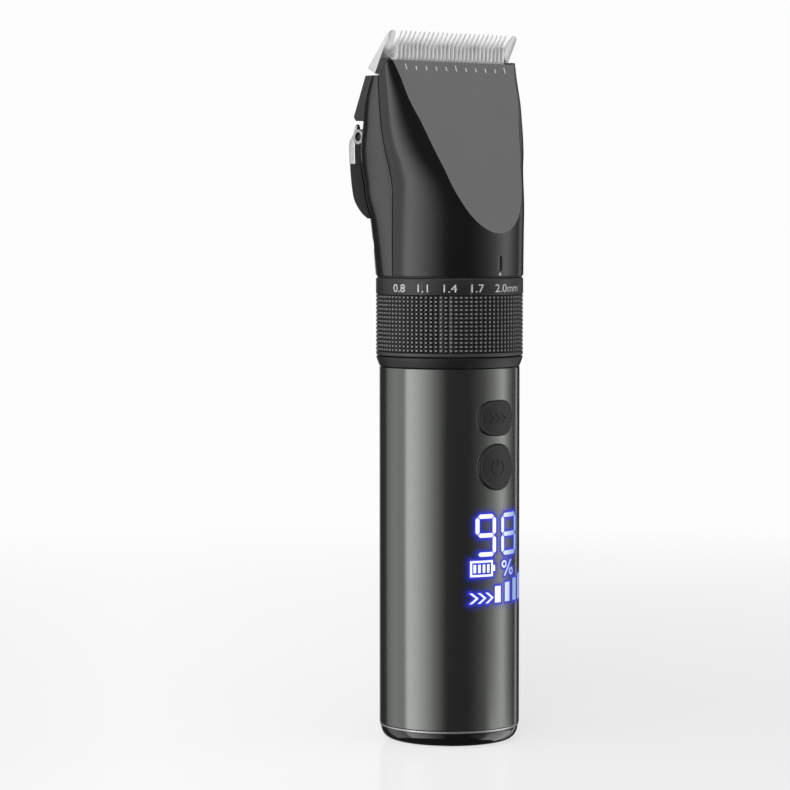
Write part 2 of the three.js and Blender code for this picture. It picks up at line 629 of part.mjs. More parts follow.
function makeNeck() {
  let neck = revolve([
    [NECK.rIn, NECK.z0],
    [NECK.sleeveR, NECK.z0],
    [NECK.sleeveR, NECK.flangeZ],
    [TUBE.r, NECK.flangeZ],
    [RING.r, NECK.shoulderZ],
    [NECK.spindleR, NECK.shoulderZ],
    [NECK.spindleR, NECK.z1],
    [NECK.rIn, NECK.z1],
    [NECK.rIn, NECK.z0],
  ]);
  const followerHalf = FOLLOWER.halfWidth + GAP;
  const low = FOLLOWER.z - FOLLOWER.half - GAP;
  const high = FOLLOWER.z + FOLLOWER.half + CAM_RISE_PER_RAD * dialTurn + GAP;
  const leafHalf = DETENT.halfWidth + DETENT.room;
  const leafBack = DETENT.y1 + DETENT.bump - FUSE;
  neck = cut(
    neck,
    box(-followerHalf, followerHalf, 0, BEYOND, low, high),
    box(-leafHalf, leafHalf, -BEYOND, leafBack, DETENT.z0 - DETENT.room, DETENT.z1 + DETENT.room),
  );
  add('neck_collar', neck, looks.black);

  const { rIn, r, z0, z1, chamfer } = RING;
  let ring = revolve([
    [rIn, z0],
    [r - chamfer, z0],
    [r, z0 + chamfer],
    [r, z1 - chamfer],
    [r - chamfer, z1],
    [rIn, z1],
    [rIn, z0],
  ]);
  ring = cut(ring, helicalGroove());
  for (let i = 0; i < DIAL.steps; i += 1) {
    const angle = -Math.PI / 2 - THREE.MathUtils.degToRad(DIAL.stepDeg * i);
    const spot = [rIn * Math.cos(angle), rIn * Math.sin(angle)];
    ring = cut(ring, rodZ(DIAL.notchR, DETENT.z0, DETENT.z1, ...spot, ROUND_TINY));
  }
  add('adjusting_ring', ring, looks.black);

  const leaf = join(
    box(-DETENT.halfWidth, DETENT.halfWidth, DETENT.y0, DETENT.y1, DETENT.z0, DETENT.z1),
    rodZ(DETENT.bump, DETENT.z0 + 1, DETENT.z1 - 1, 0, DETENT.y0, ROUND_TINY),
  );
  add('ring_detent_spring', leaf, looks.steel);

  const { halfWidth, y0, y1, armZ0, armZ1, footY0, footY1, top } = SLIDER;
  const slider = join(
    box(-halfWidth, halfWidth, y0, y1, SLIDER.z0, armZ1),
    box(-halfWidth, halfWidth, footY0, y1, armZ0, armZ1),
    box(-halfWidth, halfWidth, footY0, footY1, armZ0, top),
    box(
      -FOLLOWER.halfWidth, FOLLOWER.halfWidth,
      y1 - FUSE, FOLLOWER.reach,
      FOLLOWER.z - FOLLOWER.half, FOLLOWER.z + FOLLOWER.half,
    ),
  );
  add('adjust_slider', slider, looks.plastic);
}

// ---- motor ----
function makeMotor() {
  const { y, z0, z1, bossTop } = MOTOR;
  const can = cut(
    join(rodZ(MOTOR.r, z0, z1, 0, 0, ROUND_MEDIUM), rodZ(MOTOR.bossR, z1 - FUSE, bossTop)),
    rodZ(SHAFT.r + CLOSE, SHAFT.z0 - GAP, SHAFT.z1, 0, 0, ROUND_TINY),
    mirrored((side) => {
      return rodZ(MOTOR_SCREW.hole, z1 - MOTOR_SCREW.holeDepth, z1 + 1, side * MOUNT.screwX, 0);
    }),
  );
  add('motor_can', can, looks.steel).position.y = y;
  const bell = join(
    rodZ(MOTOR.bellR, MOTOR.bellZ, z0 - CLOSE, 0, 0, ROUND_MEDIUM),
    pair(
      TERMINAL.x0, TERMINAL.x1,
      -TERMINAL.halfDepth, TERMINAL.halfDepth,
      MOTOR.bellZ - TERMINAL.length, MOTOR.bellZ + FUSE,
    ),
  );
  add('motor_end_bell', bell, looks.black).position.y = y;
  add('motor_shaft', rodZ(SHAFT.r, SHAFT.z0, SHAFT.z1), looks.steel).position.y = y;

  const slot = SLIDER.halfWidth + GAP;
  const plate = cut(
    headForm(SHELL_WALL + GAP, MOUNT.z0, MOUNT.z1),
    rodZ(MOUNT.hole, MOUNT.z0 - 1, MOUNT.z1 + 1, 0, y),
    mirrored((side) => {
      return rodZ(MOTOR_SCREW.shank + LOOSE, MOUNT.z0 - 1, MOUNT.z1 + 1, side * MOUNT.screwX, y);
    }),
    box(-slot, slot, SLIDER.y0 - GAP, BEYOND, MOUNT.z0 - 1, MOUNT.z1 + 1),
    aheadOfPanel(-PANEL.inner - GAP),
  );
  add('motor_mount', plate, looks.plastic);
  for (const [name, side] of [['motor_screw_right', 1], ['motor_screw_left', -1]]) {
    const screw = join(
      rodZ(MOTOR_SCREW.head, MOUNT.z1 + FUSE, MOUNT.z1 + FUSE + MOTOR_SCREW.headHeight),
      rodZ(MOTOR_SCREW.shank, z1 - MOTOR_SCREW.depth, MOUNT.z1 + 2 * FUSE, 0, 0, ROUND_TINY),
    );
    add(name, screw, looks.steel).position.set(side * MOUNT.screwX, y, 0);
  }

  const bore = rodZ(SHAFT.r + FUSE, SHAFT.z0, CAM.z1 - CAM.lid, 0, 0, ROUND_TINY);
  const disc = cut(rodZ(CAM.r, CAM.z0, CAM.z1, 0, 0, ROUND_MEDIUM), bore);
  const cam = join(disc, rodZ(CAM.pinR, CAM.z1 - FUSE, CAM.pinTop, 0, CAM.offset));
  add('eccentric_cam', cam, looks.plastic).position.y = y;
}

// ---- head shells ----
function makeHead() {
  add('front_shell', hollowHead.intersect(seamSide(true)), looks.gloss);
  add('rear_shell', hollowHead.intersect(seamSide(false)), looks.gloss);

  const panel = cut(head.subtract(aboveHead), aheadOfPanel(0)).intersect(aheadOfPanel(-PANEL.thick));
  add('front_panel', panel, looks.panel);

  for (const [name, side] of [['shell_screw_right', 1], ['shell_screw_left', -1]]) {
    const screw = join(
      rodY(SHELL_SCREW.head, SHELL_SCREW.headY + FUSE, SHELL_SCREW.headEnd, 0, 0, ROUND_SMALL),
      rodY(SHELL_SCREW.shank, SHELL_SCREW.tipY, SHELL_SCREW.headY + 2 * FUSE, 0, 0),
    );
    add(name, screw, looks.steel).position.set(side * SHELL_SCREW.x, 0, SHELL_SCREW.z);
  }

  const clearance = headForm(-GAP, HEAD_BOTTOM, HEAD_TOP);
  add('latch_cover', cut(crownedBlock(COVER.edge, COVER), clearance), looks.black);

  const eyes = (radius, grow) => mirrored((side) => {
    const x0 = side > 0 ? LEVER.earX0 : -LEVER.halfWidth;
    return rodX(radius, x0 - grow, x0 + LEVER.halfWidth - LEVER.earX0 + grow, PIVOT.y, PIVOT.z);
  });
  const bottom = LEVER_EDGE[0];
  const top = LEVER_EDGE[LEVER_EDGE.length - 1];
  const roomEdge = [[bottom[0] - 1, bottom[1]], ...LEVER_EDGE.slice(1, -1), [top[0] + 1, top[1]]];
  const flap = cut(
    crownedBlock(LEVER_EDGE, LEVER),
    crownedBlock(roomEdge, LEVER, LEVER.wall, LEVER.wall),
    clearance,
  );
  const ears = cut(eyes(PIVOT.eyeR, 0), clearance);
  const lever = cut(join(flap, ears), eyes(PIVOT.holeR, 1), stripForm(FUSE, 1));
  add('release_lever', lever, looks.black);
  add('lever_plate', stripForm(0, 0), looks.steel);

  for (const [name, side] of [['lever_pin_right', 1], ['lever_pin_left', -1]]) {
    const x0 = side > 0 ? PIVOT_PIN.x0 : -PIVOT_PIN.x1;
    const pin = rodX(PIVOT.pinR, x0, x0 + PIVOT_PIN.x1 - PIVOT_PIN.x0, PIVOT.y, PIVOT.z);
    add(name, pin, looks.steel);
  }
}

// bright strip let into the lever's outer face, with an arm up each side; grow makes the recess for it
function stripForm(grow, rise) {
  const rows = LEVER_EDGE.filter(([z]) => z > STRIP.z0 - 1);
  const edge = [...STRIP_EDGE_ENDS.bottom, ...rows, ...STRIP_EDGE_ENDS.top];
  const skin = cut(
    crownedBlock(edge, LEVER, -rise, -rise),
    crownedBlock(edge, LEVER, -2, STRIP.thick + grow),
  );
  const far = LEVER.halfWidth + rise;
  const bar = box(-far, far, 0, BEYOND, STRIP.z0 - grow, STRIP.z1 + grow);
  const arms = pair(STRIP.armX0 - grow, far, 0, BEYOND, STRIP.z1 - 1, STRIP.armTop);
  return skin.intersect(join(bar, arms));
}

// ---- blades ----
// comb outline in (X, Y): teeth upwards, tips narrower than roots
function comb({ halfWidth, bottom, root, tip, teeth, pitch, tooth, endTooth = 0 }) {
  const rightEnd = endTooth
    ? [
      [halfWidth - endTooth, root],
      [halfWidth - endTooth + END_TOOTH.taper, tip],
      [halfWidth - END_TOOTH.chamfer, tip],
      [halfWidth, tip - END_TOOTH.chamfer],
    ]
    : [[halfWidth, root]];
  const leftEnd = rightEnd.map(([x, u]) => [-x, u]).reverse();
  const middle = Array.from({ length: teeth }, (_, i) => {
    const x = (i - (teeth - 1) / 2) * pitch;
    const half = tooth / 2;
    const tipHalf = half * TIP_RATIO;
    return [[x - half, root], [x - tipHalf, tip], [x + tipHalf, tip], [x + half, root]];
  }).flat();
  return [[-halfWidth, bottom], ...leftEnd, ...middle, ...rightEnd, [halfWidth, bottom]];
}

function makeBlades() {
  const teeth = slab(comb(FIXED), -BEYOND, BEYOND);
  const plate = box(
    -FIXED_PLATE.halfWidth, FIXED_PLATE.halfWidth,
    FIXED_PLATE.bottom, FIXED_PLATE.top,
    -FIXED_PLATE.thick, 0,
  );
  const screwHoles = mirrored((side) => {
    const r = BLADE_SCREW.shank + CLOSE;
    return rodZ(r, BLADE_SCREW.depth - 1, BLADE_SCREW.headTop, side * BLADE_SCREW.x, BLADE_SCREW.u);
  });
  const wedge = prism(FIXED_WEDGE, -BEYOND, BEYOND);
  addBlade('fixed_blade', cut(join(teeth.intersect(wedge), plate), screwHoles), looks.steel);

  const { bottom, root, tip, thick, tipThick } = MOVING;
  const movingTeeth = slab(comb(MOVING), -BEYOND, BEYOND);
  const side = [[bottom, BLADE_GAP], [tip, BLADE_GAP], [tip, tipThick], [root, thick], [bottom, thick]];
  const movingWedge = prism(side, -BEYOND, BEYOND);
  const tail = box(
    -MOVING_TAIL.halfWidth, MOVING_TAIL.halfWidth,
    MOVING_TAIL.bottom, bottom + GAP,
    BLADE_GAP, MOVING_TAIL.thick,
  );
  addBlade('moving_blade', join(movingTeeth.intersect(movingWedge), tail), looks.steel);

  const hanging = join(
    box(-YOKE.halfWidth, YOKE.halfWidth, YOKE.y0, YOKE.y1, YOKE.webZ, YOKE.top),
    pair(YOKE.slot, YOKE.halfWidth, YOKE.y0, YOKE.y1, YOKE.z0, YOKE.webZ + FUSE),
  );
  const clamp = box(
    -YOKE.halfWidth, YOKE.halfWidth,
    MOVING_TAIL.bottom, CLAMP.top,
    MOVING_TAIL.thick + CLOSE, CLAMP.n1,
  );
  addBlade('drive_yoke', join(intoBladeFrame(hanging), clamp), looks.plastic);

  const { x0, x1, low, bar, top, n0, n1 } = CARRIAGE;
  const carriage = join(pair(x0, x1, low, top, n0, n1), box(-x1, x1, low, bar, n0, n1));
  addBlade('cutter_carriage', carriage, looks.plastic);
  addBlade('cutter_spring', springForm(), looks.steel);

  for (const [name, x] of [['blade_screw_right', BLADE_SCREW.x], ['blade_screw_left', -BLADE_SCREW.x]]) {
    const screw = join(
      rodZ(BLADE_SCREW.head, BLADE_GAP, BLADE_SCREW.headTop),
      rodZ(BLADE_SCREW.shank, BLADE_SCREW.depth, BLADE_GAP + FUSE, 0, 0, ROUND_TINY),
    );
    addBlade(name, screw, looks.steel).position.set(x, BLADE_SCREW.u, 0);
  }
  makeCarrier(screwHoles);
}

// a wire that lies on the carriage and presses the moving blade with its two bent arms
function springForm() {
  const { r, x, tip, n, bendX } = SPRING;
  const seat = CARRIAGE.n1 + r + FUSE;
  const half = [[x, tip, n], [x, -1, seat + LOOSE], [x, -6, seat], [bendX, -8, seat]];
  const points = [...half.map(([a, b, c]) => [-a, b, c]), ...half.reverse()];
  const vectors = points.map((point) => new THREE.Vector3(...point));
  const route = new THREE.CatmullRomCurve3(vectors, false, 'centripetal');
  const section = new THREE.Shape();
  section.absarc(0, 0, r, 0, 2 * Math.PI);
  const options = { steps: SPRING.steps, extrudePath: route, curveSegments: 2 };
  return solid(new THREE.ExtrudeGeometry(section, options));
}

function makeCarrier(screwHoles) {
  const { back, front, low, lowHalf, mid, top, side } = CARRIER;
  const wrapX = FIXED_PLATE.halfWidth + GAP;
  const insideShell = headForm(SHELL_WALL + 0.5, HEAD_BOTTOM, HEAD_TOP);
  const inner = join(
    box(-lowHalf, lowHalf, low, mid, back, front),
    box(-side, side, mid - FUSE, top, back, front),
    pair(wrapX, side, mid, top, back, MOVING.thick),
    pair(EAR.x0, side, EAR.low, EAR.innerTop, EAR.n0, MOVING.thick),
    intoBladeFrame(rodX(HINGE.r, -HINGE.halfWidth, HINGE.halfWidth, HINGE.y, HINGE.z)),
  ).intersect(intoBladeFrame(insideShell));
  const ears = pair(EAR.x0, EAR.x1, EAR.low, MOVING.bottom - GAP, EAR.n0, MOVING.thick);
  const aboveShell = aboveHead.translate([0, LOOSE, GAP]);
  const earRoom = intoBladeFrame(join(aboveShell, insideShell));
  const lean = Math.tan(THREE.MathUtils.degToRad(BLADE.leanDeg));
  const slidingY = (z) => BLADE.y - (z - BLADE.z) * lean - EAR.n0;
  const cheeks = intoBladeFrame(prismPair([
    ...CHEEK_FRONT,
    [slidingY(CHEEK.z1), CHEEK.z1],
    [slidingY(CHEEK.z0), CHEEK.z0],
    [CHEEK.backY[1], SLOPE.backZ + GAP + FUSE / 2],
    [CHEEK.backY[0], SLOPE.backZ + GAP + FUSE / 2],
  ], CHEEK.x0, CHEEK.x1));
  addBlade('blade_carrier', cut(join(inner, ears.intersect(earRoom), cheeks), screwHoles), looks.black);
}

makeBase();
makeHandle();
makeInsides();
makeNeck();
makeMotor();
makeHead();
makeBlades();

export default model;
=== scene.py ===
"""Cordless hair clipper: detailed pieces, materials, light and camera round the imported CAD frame."""
import math

import bmesh
import bpy
from mathutils import Matrix, Vector


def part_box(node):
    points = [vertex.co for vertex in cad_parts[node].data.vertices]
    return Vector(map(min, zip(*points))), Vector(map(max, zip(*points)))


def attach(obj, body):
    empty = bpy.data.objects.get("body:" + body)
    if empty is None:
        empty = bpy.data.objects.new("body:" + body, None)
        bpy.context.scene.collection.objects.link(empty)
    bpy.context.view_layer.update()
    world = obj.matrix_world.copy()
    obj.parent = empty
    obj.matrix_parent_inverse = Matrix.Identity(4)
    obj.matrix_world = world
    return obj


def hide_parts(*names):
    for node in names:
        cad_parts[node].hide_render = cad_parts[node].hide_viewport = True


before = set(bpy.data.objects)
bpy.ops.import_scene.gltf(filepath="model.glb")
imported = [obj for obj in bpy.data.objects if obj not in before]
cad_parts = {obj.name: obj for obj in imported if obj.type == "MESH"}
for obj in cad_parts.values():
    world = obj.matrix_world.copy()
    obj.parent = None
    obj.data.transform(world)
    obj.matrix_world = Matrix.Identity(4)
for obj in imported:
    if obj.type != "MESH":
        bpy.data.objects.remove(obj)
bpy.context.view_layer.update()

MM = 0.001
TAU = 2 * math.pi


# ---------------------------------------------------------------- frame values, in millimetres
def node_box(node):
    low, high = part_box(node)
    return [value / MM for value in low], [value / MM for value in high]


TUBE_LOW, TUBE_HIGH = node_box("body_tube")
RING_LOW, RING_HIGH = node_box("adjusting_ring")
CAP_LOW, CAP_HIGH = node_box("end_cap")
TRIM_LOW, TRIM_HIGH = node_box("trim_ring")
NECK_LOW, NECK_HIGH = node_box("neck_collar")
POWER_LOW, POWER_HIGH = node_box("power_button")
TURBO_LOW, TURBO_HIGH = node_box("turbo_button")
TUBE_R = TUBE_HIGH[0]
RING_R = RING_HIGH[0]
POWER_Z = (POWER_LOW[2] + POWER_HIGH[2]) / 2
TURBO_Z = (TURBO_LOW[2] + TURBO_HIGH[2]) / 2
BUTTON_R = 5.8
TURBO_HALF = 4.4

# head outline: height, half width, rear depth, front depth, front and rear superellipse exponents
HEAD = [
    (119.2, 18.95, 18.95, 18.86, 2.0, 2.0),
    (126.0, 18.95, 18.95, 18.86, 2.02, 2.2),
    (133.0, 18.95, 18.95, 18.86, 2.05, 2.5),
    (141.0, 19.0, 19.0, 17.4, 2.25, 3.3),
    (146.0, 19.9, 18.95, 15.2, 2.4, 3.4),
    (151.0, 21.3, 18.5, 13.0, 2.5, 3.15),
    (157.0, 22.15, 17.2, 10.45, 2.6, 2.85),
    (164.0, 22.42, 15.4, 7.9, 2.7, 2.85),
    (169.6, 22.42, 11.6, 5.2, 2.7, 2.9),
    (176.0, 22.42, 7.6, 2.1, 2.7, 3.0),
]
SLOPE_FRONT = (-1.74, 173.4)
SLOPE_BACK = (2.2, 169.6)
SEAM_POINTS = [(119.2, 0.56), (150.0, 0.8), (169.6, 2.2)]
SEAM_GAP = 0.34
HEAD_BASE = 119.2
HEAD_REAR_TOP = 169.6
HEAD_FRONT_TOP = 175.0
SHELL_WALL = 1.5
PANEL_TIP = (-19.0, 129.5)
PANEL_LEAN = math.radians(21.5)
SLOPE_NORMAL = Vector((0, SLOPE_FRONT[1] - SLOPE_BACK[1], SLOPE_BACK[0] - SLOPE_FRONT[0])).normalized()
PANEL_NORMAL = Vector((0, -math.cos(PANEL_LEAN), math.sin(PANEL_LEAN)))
PIVOT = (16.4, 154.5)
PIN_R = 0.95
EYE_R = 1.95
LEVER_HALF = 16.6
LEVER_EDGE = [
    (133.6, 12.9, 6.6), (135.1, 15.35, 4.6), (139.0, 18.4, 3.1), (144.3, 19.47, 2.65),
    (147.0, 19.75, 2.6), (151.5, 19.95, 2.6), (153.2, 19.85, 2.6), (154.2, 19.2, 2.6),
    (155.4, 18.1, 2.6), (158.2, 17.5, 2.6),
]
COVER_HALF = 18.0
COVER_EDGE = [(158.5, 15.9), (159.5, 16.7), (169.9, 12.1)]
BLADE_ORIGIN = Vector((0, 3.9, 169.9))
BLADE_LEAN = math.radians(28.5)
U_AXIS = Vector((0, -math.sin(BLADE_LEAN), math.cos(BLADE_LEAN)))
N_AXIS = Vector((0, -math.cos(BLADE_LEAN), -math.sin(BLADE_LEAN)))


# ---------------------------------------------------------------- interpolation
def curve_value(rows, z, column):
    """Smooth interpolation without overshoot through one column of a table."""
    last = len(rows) - 1
    z = min(max(z, rows[0][0]), rows[last][0])
    k = next(i for i in range(last) if z <= rows[i + 1][0])

    def secant(i):
        return (rows[i + 1][column] - rows[i][column]) / (rows[i + 1][0] - rows[i][0])

    def slope(i):
        below = secant(max(i - 1, 0))
        above = secant(min(i, last - 1))
        return 2 * below * above / (below + above) if below * above > 0 else 0

    span = rows[k + 1][0] - rows[k][0]
    t = (z - rows[k][0]) / span
    t2 = t * t
    t3 = t2 * t
    return ((2 * t3 - 3 * t2 + 1) * rows[k][column] + (t3 - 2 * t2 + t) * span * slope(k)
            + (3 * t2 - 2 * t3) * rows[k + 1][column] + (t3 - t2) * span * slope(k + 1))


def head_form(z):
    return [curve_value(HEAD, z, column) for column in (1, 2, 3, 4, 5)]


def head_point(z, angle):
    half, rear, front, front_power, rear_power = head_form(z)
    c = math.cos(angle)
    s = math.sin(angle)
    depth = rear if s > 0 else front
    power = rear_power if s > 0 else front_power
    x = half * math.copysign(abs(c) ** (2 / power), c)
    y = depth * math.copysign(abs(s) ** (2 / power), s)
    return (x, y, z)


def rear_depth(x, z):
    """Y of the head's rear surface at x."""
    half, rear, _, _, power = head_form(z)
    return rear * max(1 - min(abs(x) / half, 1) ** power, 0) ** (1 / power)


def on_line(points, z):
    """Value at height z on a broken line of (z, value) points."""
    for (z0, y0), (z1, y1) in zip(points, points[1:]):
        if z <= z1:
            return y0 + (y1 - y0) * (z - z0) / (z1 - z0)
    return points[-1][1]


def seam_angle(z, y):
    _, rear, _, _, power = head_form(z)
    return math.asin((max(y, 0) / rear) ** (power / 2))


# ---------------------------------------------------------------- mesh building
def polar(radius, angle):
    return (radius * math.cos(angle), radius * math.sin(angle))


def bm_from(verts, faces):
    bm = bmesh.new()
    made = [bm.verts.new(Vector(v) * MM) for v in verts]
    for face in faces:
        bm.faces.new([made[i] for i in face])
    return bm


def grid_faces(rows, columns, closed, looped=False):
    """Quads of a grid: closed joins its last column to the first, looped its last row to the first."""
    faces = []
    across = columns if closed else columns - 1
    for j in range(rows if looped else rows - 1):
        step = ((j + 1) % rows - j) * columns
        for i in range(across):
            a = j * columns + i
            b = j * columns + (i + 1) % columns
            faces.append((a, b, b + step, a + step))
    return faces


def lathe(profile, segments):
    """Closed solid of revolution about Z; the profile closes on itself or ends on the axis."""
    verts = []
    faces = []
    rows = []
    for r, z in profile:
        if r < 1e-6:
            rows.append([len(verts)])
            verts.append((0, 0, z))
            continue
        rows.append(list(range(len(verts), len(verts) + segments)))
        for i in range(segments):
            verts.append((*polar(r, TAU * i / segments), z))
    pairs = list(zip(rows, rows[1:]))
    if len(rows[0]) > 1:
        pairs.append((rows[-1], rows[0]))
    for low, high in pairs:
        for i in range(segments):
            j = (i + 1) % segments
            ring = [low[i % len(low)], low[j % len(low)], high[j % len(high)], high[i % len(high)]]
            face = list(dict.fromkeys(ring))
            if len(face) > 2:
                faces.append(face)
    return verts, faces


def rounded(profile, radius, steps=4):
    """Rounds the corners of a closed (r, z) profile."""
    points = []
    count = len(profile)
    for i, corner in enumerate(profile):
        here = Vector(corner)
        before = Vector(profile[i - 1]) - here
        after = Vector(profile[(i + 1) % count]) - here
        reach = min(radius, before.length * 0.45, after.length * 0.45)
        start = here + before.normalized() * reach
        end = here + after.normalized() * reach
        for k in range(steps + 1):
            t = k / steps
            points.append(tuple(start * (1 - t) ** 2 + here * 2 * t * (1 - t) + end * t * t))
    return points


def loft(rings, closed_ends=True):
    """Skins a stack of closed rings of equal length."""
    sides = len(rings[0])
    verts = [point for ring in rings for point in ring]
    faces = grid_faces(len(rings), sides, True)
    if closed_ends:
        faces.append(tuple(range(sides - 1, -1, -1)))
        base = (len(rings) - 1) * sides
        faces.append(tuple(range(base, base + sides)))
    return verts, faces


def sweep(path, radius, sides=8, closed=False):
    """Round section along a list of points, with round ends left flat."""
    points = [Vector(p) for p in path]
    count = len(points)
    verts = []
    normal = None
    for i, point in enumerate(points):
        before = points[(i - 1) % count] if closed or i else point
        after = points[(i + 1) % count] if closed or i < count - 1 else point
        along = (after - before).normalized()
        if normal is None:
            normal = along.orthogonal().normalized()
        normal = (normal - along * normal.dot(along)).normalized()
        side = along.cross(normal)
        for k in range(sides):
            angle = TAU * k / sides
            verts.append(point + (normal * math.cos(angle) + side * math.sin(angle)) * radius)
    faces = grid_faces(count, sides, True, looped=closed)
    if not closed:
        faces.append(tuple(range(sides - 1, -1, -1)))
        faces.append(tuple(range((count - 1) * sides, count * sides)))
    return verts, faces


def merge(*parts):
    verts = []
    faces = []
    for part_verts, part_faces in parts:
        base = len(verts)
        verts += list(part_verts)
        faces += [tuple(i + base for i in face) for face in part_faces]
    return verts, faces


def box_mesh(x0, x1, y0, y1, z0, z1):
    verts = [(x, y, z) for z in (z0, z1) for y in (y0, y1) for x in (x0, x1)]
    faces = [(0, 2, 3, 1), (4, 5, 7, 6), (0, 1, 5, 4), (2, 6, 7, 3), (0, 4, 6, 2), (1, 3, 7, 5)]
    return verts, faces


def show(obj):
    bpy.context.scene.collection.objects.link(obj)


def object_from(name, bm):
    bmesh.ops.recalc_face_normals(bm, faces=bm.faces)
    mesh = bpy.data.meshes.new(name)
    bm.to_mesh(mesh)
    bm.free()
    obj = bpy.data.objects.new(name, mesh)
    show(obj)
    return obj


def apply_modifiers(obj):
    bpy.context.view_layer.update()
    graph = bpy.context.evaluated_depsgraph_get()
    mesh = bpy.data.meshes.new_from_object(obj.evaluated_get(graph))
    old = obj.data
    obj.modifiers.clear()
    obj.data = mesh
    bpy.data.meshes.remove(old)


def carve(obj, mode, *parts):
    """Joins or cuts a mesh piece with closed shapes."""
    for verts, faces in parts:
        tool = object_from("tool", bm_from(verts, faces))
        modifier = obj.modifiers.new("carve", "BOOLEAN")
        modifier.operation = mode
        modifier.solver = "EXACT"
        modifier.object = tool
        apply_modifiers(obj)
        mesh = tool.data
        bpy.data.objects.remove(tool)
        bpy.data.meshes.remove(mesh)


def thicken(obj, depth):
    modifier = obj.modifiers.new("wall", "SOLIDIFY")
    modifier.thickness = depth * MM
    modifier.offset = -1
    modifier.use_even_offset = True
    apply_modifiers(obj)


def soften(obj, width, segments=2, angle=38):
    modifier = obj.modifiers.new("edge", "BEVEL")
    modifier.width = width * MM
    modifier.segments = segments
    modifier.limit_method = "ANGLE"
    modifier.angle_limit = math.radians(angle)
    modifier.use_clamp_overlap = True
    apply_modifiers(obj)


def smooth(obj, angle=35):
    bm = bmesh.new()
    bm.from_mesh(obj.data)
    for face in bm.faces:
        face.smooth = True
    for edge in bm.edges:
        edge.smooth = len(edge.link_faces) == 2 and edge.calc_face_angle(0) < math.radians(angle)
    bm.to_mesh(obj.data)
    bm.free()


def dress(obj, material, body, stands_for=(), angle=35):
    smooth(obj, angle)
    obj.data.materials.clear()
    obj.data.materials.append(material)
    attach(obj, body)
    if stands_for:
        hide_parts(*stands_for)
    return obj


def piece(name, shape, material, body, stands_for=(), bevel=0.0, angle=35):
    obj = object_from(name, bm_from(*shape))
    if bevel:
        soften(obj, bevel)
    return dress(obj, material, body, stands_for, angle)


# ---------------------------------------------------------------- materials
def new_material(name):
    material = bpy.data.materials.new(name)
    material.use_nodes = True
    tree = material.node_tree
    shader = tree.nodes["Principled BSDF"]
    return material, tree, shader


def feed(tree, node, inputs):
    """Set each input to a constant, or link it to the output given for it."""
    for key, value in inputs.items():
        if isinstance(value, bpy.types.NodeSocket):
            tree.links.new(value, node.inputs[key])
        else:
            node.inputs[key].default_value = value


def add_node(tree, kind, inputs, **settings):
    node = tree.nodes.new("ShaderNode" + kind)
    for key, value in settings.items():
        setattr(node, key, value)
    feed(tree, node, inputs)
    return node


def coordinates(tree, stretch=(1, 1, 1)):
    coords = add_node(tree, "TexCoord", {})
    inputs = {"Scale": stretch, "Vector": coords.outputs["Object"]}
    return add_node(tree, "Mapping", inputs).outputs["Vector"]


def noise(tree, vector, scale, detail=3.0, rough=0.55):
    inputs = {"Scale": scale, "Detail": detail, "Roughness": rough, "Vector": vector}
    return add_node(tree, "TexNoise", inputs).outputs["Fac"]


def remap(tree, value, low, high, from_low=0.3, from_high=0.7):
    inputs = {"From Min": from_low, "From Max": from_high, "To Min": low, "To Max": high, "Value": value}
    return add_node(tree, "MapRange", inputs).outputs["Result"]


def blend_colors(tree, value, first, second):
    """Mix of two colours, of which the first may also be the output of a node."""
    first = (*first, 1) if isinstance(first, tuple) else first
    inputs = {"A": first, "B": (*second, 1), "Factor": value}
    return add_node(tree, "Mix", inputs, data_type="RGBA").outputs["Result"]


def multiply(tree, first, second):
    return add_node(tree, "Math", {0: first, 1: second}, operation="MULTIPLY").outputs["Value"]


def bump(tree, height, strength, distance):
    inputs = {"Strength": strength, "Distance": distance, "Height": height}
    return add_node(tree, "Bump", inputs).outputs["Normal"]


MOTTLE_SCALE = 60.0


def moulded(name, dark, light, rough, grain, depth,
            coat=0.0, metallic=0.0, coat_rough=0.04, specular=0.5):
    """A surface with colour variation, roughness variation and a fine grain."""
    material, tree, shader = new_material(name)
    vector = coordinates(tree)
    cloud = remap(tree, noise(tree, vector, MOTTLE_SCALE, 4), 0, 1)
    fine = noise(tree, vector, grain, 3)
    feed(tree, shader, {
        "Base Color": blend_colors(tree, cloud, dark, light),
        "Roughness": remap(tree, fine, *rough),
        "Metallic": metallic,
        "Specular IOR Level": specular,
        "Coat Weight": coat,
        "Coat Roughness": coat_rough,
        "Normal": bump(tree, fine, 0.35, depth),
    })
    return material


def make_gunmetal():
    """Metallic lacquer: tiny flakes under a clear coat."""
    material, tree, shader = new_material("gunmetal_lacquer")
    vector = coordinates(tree)
    flakes = add_node(tree, "TexVoronoi", {"Scale": 7000, "Vector": vector})
    sparkle = remap(tree, flakes.outputs["Distance"], 0, 1, 0.1, 0.7)
    feed(tree, shader, {
        "Base Color": blend_colors(tree, sparkle, (0.225, 0.235, 0.222), (0.185, 0.195, 0.183)),
        "Roughness": remap(tree, noise(tree, vector, 900, 2), 0.17, 0.22),
        "Metallic": 0.92,
        "Coat Weight": 0.35,
        "Coat Roughness": 0.03,
        "Normal": bump(tree, noise(tree, vector, 500, 1), 0.04, 0.00002),
    })
    return material


def make_steel(name, tone, stretch, rough, metallic=1.0):
    """Ground metal with fine lines."""
    material, tree, shader = new_material(name)
    lines = noise(tree, coordinates(tree, stretch), 1.0, 4, 0.6)
    dull = tuple(value * 0.82 for value in tone)
    feed(tree, shader, {
        "Base Color": blend_colors(tree, remap(tree, lines, 0, 1), dull, tone),
        "Roughness": remap(tree, lines, rough[1], rough[0]),
        "Metallic": metallic,
        "Normal": bump(tree, lines, 0.25, 0.00001),
    })
    return material


